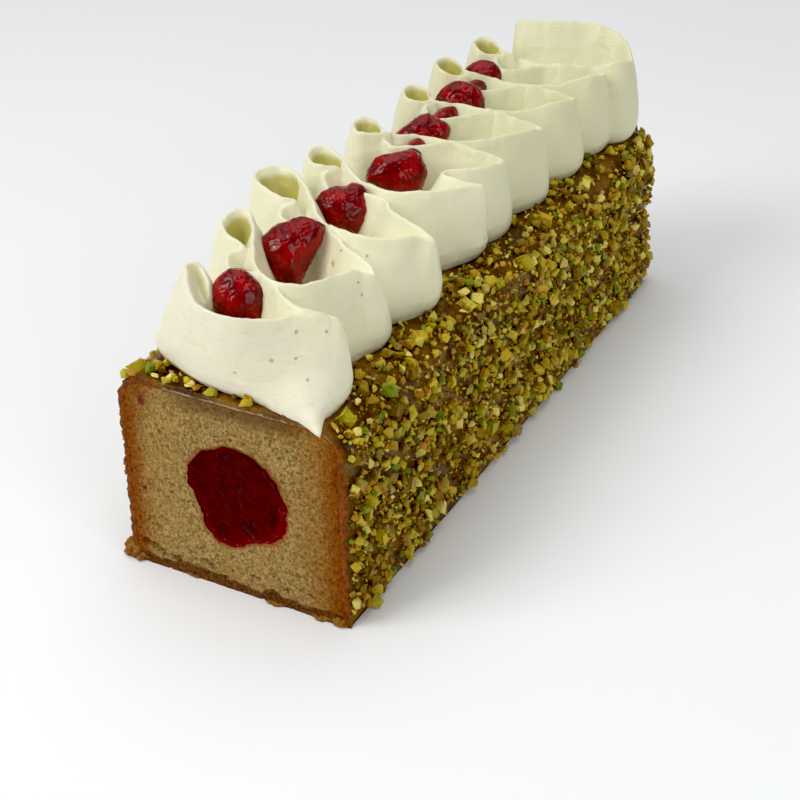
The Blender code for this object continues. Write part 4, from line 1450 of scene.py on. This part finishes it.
def strewTree():
    # pieces of random size and turn, each kept a gap away from the next
    tree = Strewing("strewNuts")
    surface = tree.ask("Surface", "NodeSocketGeometry")
    pieces = tree.ask("Pieces", "NodeSocketCollection")
    words = ("Gap", "Density", "Smallest", "Largest", "Lift", "Tilt")
    gap, density, smallest, largest, lift, tilt = (tree.ask(word, "NodeSocketFloat") for word in words)
    seed = tree.ask("Seed", "NodeSocketInt")
    finish = tree.ask("Finish", "NodeSocketMaterial")

    share = tree.node("GeometryNodeInputNamedAttribute", {"data_type": "FLOAT"}, {"Name": "share"})
    spread = tree.tree.nodes.new("GeometryNodeDistributePointsOnFaces")
    spread.distribute_method = "POISSON"
    feeds = {"Mesh": surface, "Distance Min": gap, "Density Max": density, "Density Factor": share,
             "Seed": seed}
    for key, value in feeds.items():
        tree.tree.links.new(value, spread.inputs[key])
    size = tree.chance(smallest, largest, seed)
    kept = tree.tree.nodes.new("GeometryNodeCaptureAttribute")
    kept.capture_items.new("FLOAT", "Size")
    tree.tree.links.new(spread.outputs["Points"], kept.inputs["Geometry"])
    tree.tree.links.new(size, kept.inputs["Size"])
    raised = tree.node("ShaderNodeMath", {"operation": "MULTIPLY"}, {0: kept.outputs["Size"], 1: lift})
    offset = tree.node("ShaderNodeVectorMath", {"operation": "SCALE"},
                       {0: spread.outputs["Normal"], "Scale": raised})
    moved = tree.node("GeometryNodeSetPosition", {}, {"Geometry": kept.outputs["Geometry"], "Offset": offset})
    toned = tree.node("GeometryNodeStoreNamedAttribute", {"data_type": "FLOAT", "domain": "POINT"},
                      {"Geometry": moved, "Name": "tone", "Value": tree.chance(0.0, 1.0, 17)})
    leanBack = tree.node("ShaderNodeMath", {"operation": "MULTIPLY"}, {0: tilt, 1: -1.0})
    leans = [tree.chance(leanBack, tilt, number) for number in (21, 22)]
    spin = tree.chance(0.0, 6.283, 23)
    euler = tree.node("ShaderNodeCombineXYZ", {}, {0: leans[0], 1: leans[1], 2: spin})
    local = tree.node("FunctionNodeEulerToRotation", {}, {0: euler})
    turned = tree.node("FunctionNodeRotateRotation", {"rotation_space": "LOCAL"},
                       {0: spread.outputs["Rotation"], 1: local})
    stretch = tree.chance((0.75, 0.75, 0.7), (1.25, 1.2, 1.2), 24, "FLOAT_VECTOR")
    scale = tree.node("ShaderNodeVectorMath", {"operation": "SCALE"},
                      {0: stretch, "Scale": kept.outputs["Size"]})
    kinds = tree.node("GeometryNodeCollectionInfo", {},
                      {"Collection": pieces, "Separate Children": True, "Reset Children": True})
    pick = tree.chance(0, 11, 25, "INT")  # wraps round the kinds
    laid = tree.node("GeometryNodeInstanceOnPoints", {},
                     {"Points": toned, "Instance": kinds, "Pick Instance": True, "Instance Index": pick,
                      "Rotation": turned, "Scale": scale})
    real = tree.node("GeometryNodeRealizeInstances", {}, {"Geometry": laid})
    plain = tree.node("GeometryNodeSetShadeSmooth", {}, {"Geometry": real, "Shade Smooth": False})
    worn = tree.node("GeometryNodeSetMaterial", {}, {"Geometry": plain, "Material": finish})
    tree.tree.links.new(worn, tree.exit.inputs[0])
    return tree


kindsEach = 8  # shapes of each sort of piece


def choppedKinds(name, corners, flatness, seed):
    # a collection of angular pieces, each the hull of a few points
    group = bpy.data.collections.new(name)
    chance = random.Random(seed)
    for number in range(kindsEach):
        build = bmesh.new()
        for _ in range(corners):
            way = Vector((chance.gauss(0, 1), chance.gauss(0, 1), chance.gauss(0, 1))).normalized()
            way *= chance.uniform(0.42, 0.56)
            build.verts.new((way.x, way.y * 0.82, way.z * flatness))
        hull = bmesh.ops.convex_hull(build, input=build.verts)
        spare = [item for item in hull["geom_unused"] + hull["geom_interior"]
                 if isinstance(item, bmesh.types.BMVert) and item.is_valid]
        bmesh.ops.delete(build, geom=list(set(spare)), context="VERTS")
        bmesh.ops.recalc_face_normals(build, faces=build.faces)
        mesh = builtMesh(build, "{}{}".format(name, number))
        group.objects.link(bpy.data.objects.new(mesh.name, mesh))
    return group


def clearKinds(group):
    for child in list(group.objects):
        bpy.data.objects.remove(child, do_unlink=True)
    bpy.data.collections.remove(group)


strewn = {
    # gap and sizes in mm, density in pieces for each square metre
    "nutChunks": {"corners": 14, "flat": 0.75, "gap": 2.7, "density": 120000, "sizes": (2.2, 4.9),
                  "lift": 0.36, "tilt": 1.0, "seed": 5, "color": "kernel"},
    "nutBits": {"corners": 10, "flat": 0.7, "gap": 1.25, "density": 330000, "sizes": (1.1, 2.5),
                "lift": 0.42, "tilt": 1.4, "seed": 6, "color": "kernel"},
    "greenNuts": {"corners": 13, "flat": 0.7, "gap": 4.0, "density": 26000, "sizes": (1.6, 4.4),
                  "lift": 0.4, "tilt": 0.9, "seed": 7, "color": "green"},
    "roastedNuts": {"corners": 12, "flat": 0.65, "gap": 3.0, "density": 60000, "sizes": (1.4, 3.6),
                    "lift": 0.45, "tilt": 1.0, "seed": 8, "color": "roasted"},
    "nutDust": {"corners": 7, "flat": 0.75, "gap": 0.8, "density": 420000, "sizes": (0.45, 1.0),
                "lift": 0.4, "tilt": 1.4, "seed": 9, "color": "kernel"},
}


def markShare(mesh):
    # where the nuts may lie: dense on the sides, thinner on top, none under the cream or at the cut
    build = bmesh.new()
    build.from_mesh(creamPiece.data)
    clear = bvhtree.BVHTree.FromBMesh(build)
    build.free()
    values = []
    for vertex in mesh.vertices:
        x, y, z = (vertex.co - place) / mm
        share = 1.0
        if z > loaf["height"] - 3:
            share = 0.7 if x < 30 else 0.9
            gap = clear.find_nearest(vertex.co)[3] / mm
            share *= float(ease(gap, 0.6, 1.6))
        share *= float(ease(z, 1.0, 3.0))
        front = y - cutAt(x, z)
        share *= float(ease(front, 0.3, 2.2))
        if x < 10 - loaf["width"] / 2:
            share *= float(ease(front, 9, 16))  # the cut's left edge is bare crust
        share *= 0.35 + 0.65 * float(ease(lumps(x, y, z, 9.0, 3), -0.4, 0.1))
        values.append(share)
    setTone(mesh, "share", values)


floorRoom = 0.00005  # m, kept under the loose pieces


def keepAboveFloor(mesh):
    # nothing reaches below the floor
    for vertex in mesh.vertices:
        vertex.co.z = max(vertex.co.z, floorRoom)


def strewNuts():
    markShare(carrierMesh)
    tree = strewTree()
    finishes = {"kernel": bpy.data.materials["nutKernel"]}
    for word in ("green", "roasted"):
        finishes[word] = makeNutFinish("nut" + word.capitalize(), nutColors[word])
    for name, kind in strewn.items():
        item = newObject(name, carrierMesh.copy())
        group = choppedKinds(name + "Kind", kind["corners"], kind["flat"], kind["seed"])
        modifier = item.modifiers.new("strew", "NODES")
        modifier.node_group = tree.tree
        small, large = kind["sizes"]
        wants = {"Pieces": group, "Gap": kind["gap"] * mm, "Density": float(kind["density"]),
                 "Smallest": small * mm, "Largest": large * mm, "Lift": kind["lift"], "Tilt": kind["tilt"],
                 "Seed": kind["seed"], "Finish": finishes[kind["color"]]}
        for word, value in wants.items():
            modifier[tree.sockets[word]] = value
        settle(item)
        keepAboveFloor(item.data)
        dress(item, "nut_glaze")
        clearKinds(group)


setNuts = {
    # colour: where (x, y, z) each piece lies, its size and its turn, mm and degrees
    "kernel": (((-36.5, 10, 61, 6.0), 20), ((-34.5, 7, 62.5, 4.2), 70), ((-14, 8.5, 64.2, 3.4), 10),
               ((-20, 8.8, 64.0, 3.0), 40), ((-5.5, 6.4, 63.9, 4.0), 25), ((7, 5.6, 64.0, 4.4), 50),
               ((-24.5, 7.6, 64.0, 2.6), 5), ((40.4, 12, 2.2, 5.0), 30), ((36.5, 9, 59, 4.6), 80),
               ((37, 88, 62, 5.0), 15), ((34, 94, 64, 4.6), 65), ((36, 99, 62.5, 5.4), 40),
               ((33.5, 86, 64.6, 4.0), 5)),
    "green": (((-28, 9.5, 64.4, 3.8), 35), ((36.8, 32, 60.5, 6.2), 25), ((33, 91, 65.2, 3.6), 50),
              ((39, 24, 4, 4.0), 60)),
    "roasted": (((-31.5, 6.5, 64.0, 3.6), 15), ((-10, 6.6, 63.8, 2.6), 60), ((38.4, 46, 52, 4.4), 45),
                ((38.6, 17, 40, 3.8), 75)),
}


setKind = {
    "corners": 16,
    "flat": 0.72,
    "seed": 31,
    "shades": (0.78, 0.62, 0.45),
}


def makeSetNuts():
    # pieces that catch the eye, each in its place
    for color, pieces in setNuts.items():
        kinds = choppedKinds("setKind", setKind["corners"], setKind["flat"], setKind["seed"])
        shapes = [child.data for child in kinds.objects]
        build = bmesh.new()
        shades = []
        for number, ((x, y, z, size), turn) in enumerate(pieces):
            start = len(build.verts)
            build.from_mesh(shapes[number % len(shapes)])
            build.verts.ensure_lookup_table()
            lie, lean = math.radians(turn), math.radians(2 * turn)
            spin = Matrix.Rotation(lie, 3, "Z") @ Matrix.Rotation(lean, 3, "X")
            for vertex in build.verts[start:]:
                vertex.co = spin @ vertex.co * (size * mm) + Vector((x, y, z)) * mm + place
            shade = setKind["shades"][number % len(setKind["shades"])]
            shades += [shade] * (len(build.verts) - start)
        mesh = builtMesh(build, "setNuts")
        keepAboveFloor(mesh)
        setTone(mesh, "tone", shades)
        word = color.capitalize()
        material = bpy.data.materials["nut" + word]
        dress(newObject("set{}Nuts".format(word), mesh, material, smooth=False), "nut_glaze")
        clearKinds(kinds)


footCrumbs = {
    # middle (x, y, z) and half sizes of each lump, mm
    "lumps": (((-38.2, 4.6, 2.6), (3.6, 3.4, 2.6)), ((-36.5, 3.6, 1.2), (4.6, 2.6, 1.3)),
              ((-39.2, 5.0, 0.9), (3.0, 4.0, 1.0)), ((13, 0.9, 0.6), (2.6, 1.3, 0.7)),
              ((29, 0.9, 0.7), (3.4, 1.6, 0.8)), ((35.2, 0.9, 1.2), (2.8, 1.7, 1.4)),
              ((-16, 1.7, 0.5), (1.8, 0.9, 0.5))),
    "rough": 1.0,
    "tufts": 60,  # small bits along the left edge of the cut
    "tuftSizes": (0.35, 0.9),
    "seed": 12,
}


def makeFootCrumbs():
    # bits of the browned base that stand out at the foot of the cut, and tufts along its left edge
    build = bmesh.new()
    chance = random.Random(footCrumbs["seed"])
    for _ in range(footCrumbs["tufts"]):
        size = chance.uniform(*footCrumbs["tuftSizes"])
        x, z = 0.2 - loaf["width"] / 2, chance.uniform(5, loaf["height"] - loaf["edgeRadius"])
        spot = Vector((x, cutAt(x, z) + chance.uniform(0.2, 3.5), z)) * mm + place
        made = bmesh.ops.create_icosphere(build, subdivisions=2, radius=size * mm)
        for vertex in made["verts"]:
            vertex.co = vertex.co * (1 + 0.5 * noise.noise(vertex.co * 1600 + spot * 900)) + spot
    for number, (spot, sizes) in enumerate(footCrumbs["lumps"]):
        made = bmesh.ops.create_icosphere(build, subdivisions=4, radius=1.0)
        for vertex in made["verts"]:
            way = vertex.co.copy()
            point = Vector(spot) + Vector((way.x * sizes[0], way.y * sizes[1], way.z * sizes[2]))
            knob = noise.fractal(point / 1.6 + Vector((number, 0, 0)), 0.9, 2.0, 3)
            point += way * footCrumbs["rough"] * knob
            vertex.co = point * mm + place
    mesh = builtMesh(build, "footCrumbs")
    keepAboveFloor(mesh)
    for word, value in (("crust", 0.35), ("gold", 0.7)):
        setTone(mesh, word, [value] * len(mesh.vertices))
    dress(newObject("footCrumbs", mesh, bpy.data.materials["spongeCrumb"]), "sponge_crumb")


print("nuts")
makeLargeNuts()
strewNuts()
makeSetNuts()
makeFootCrumbs()
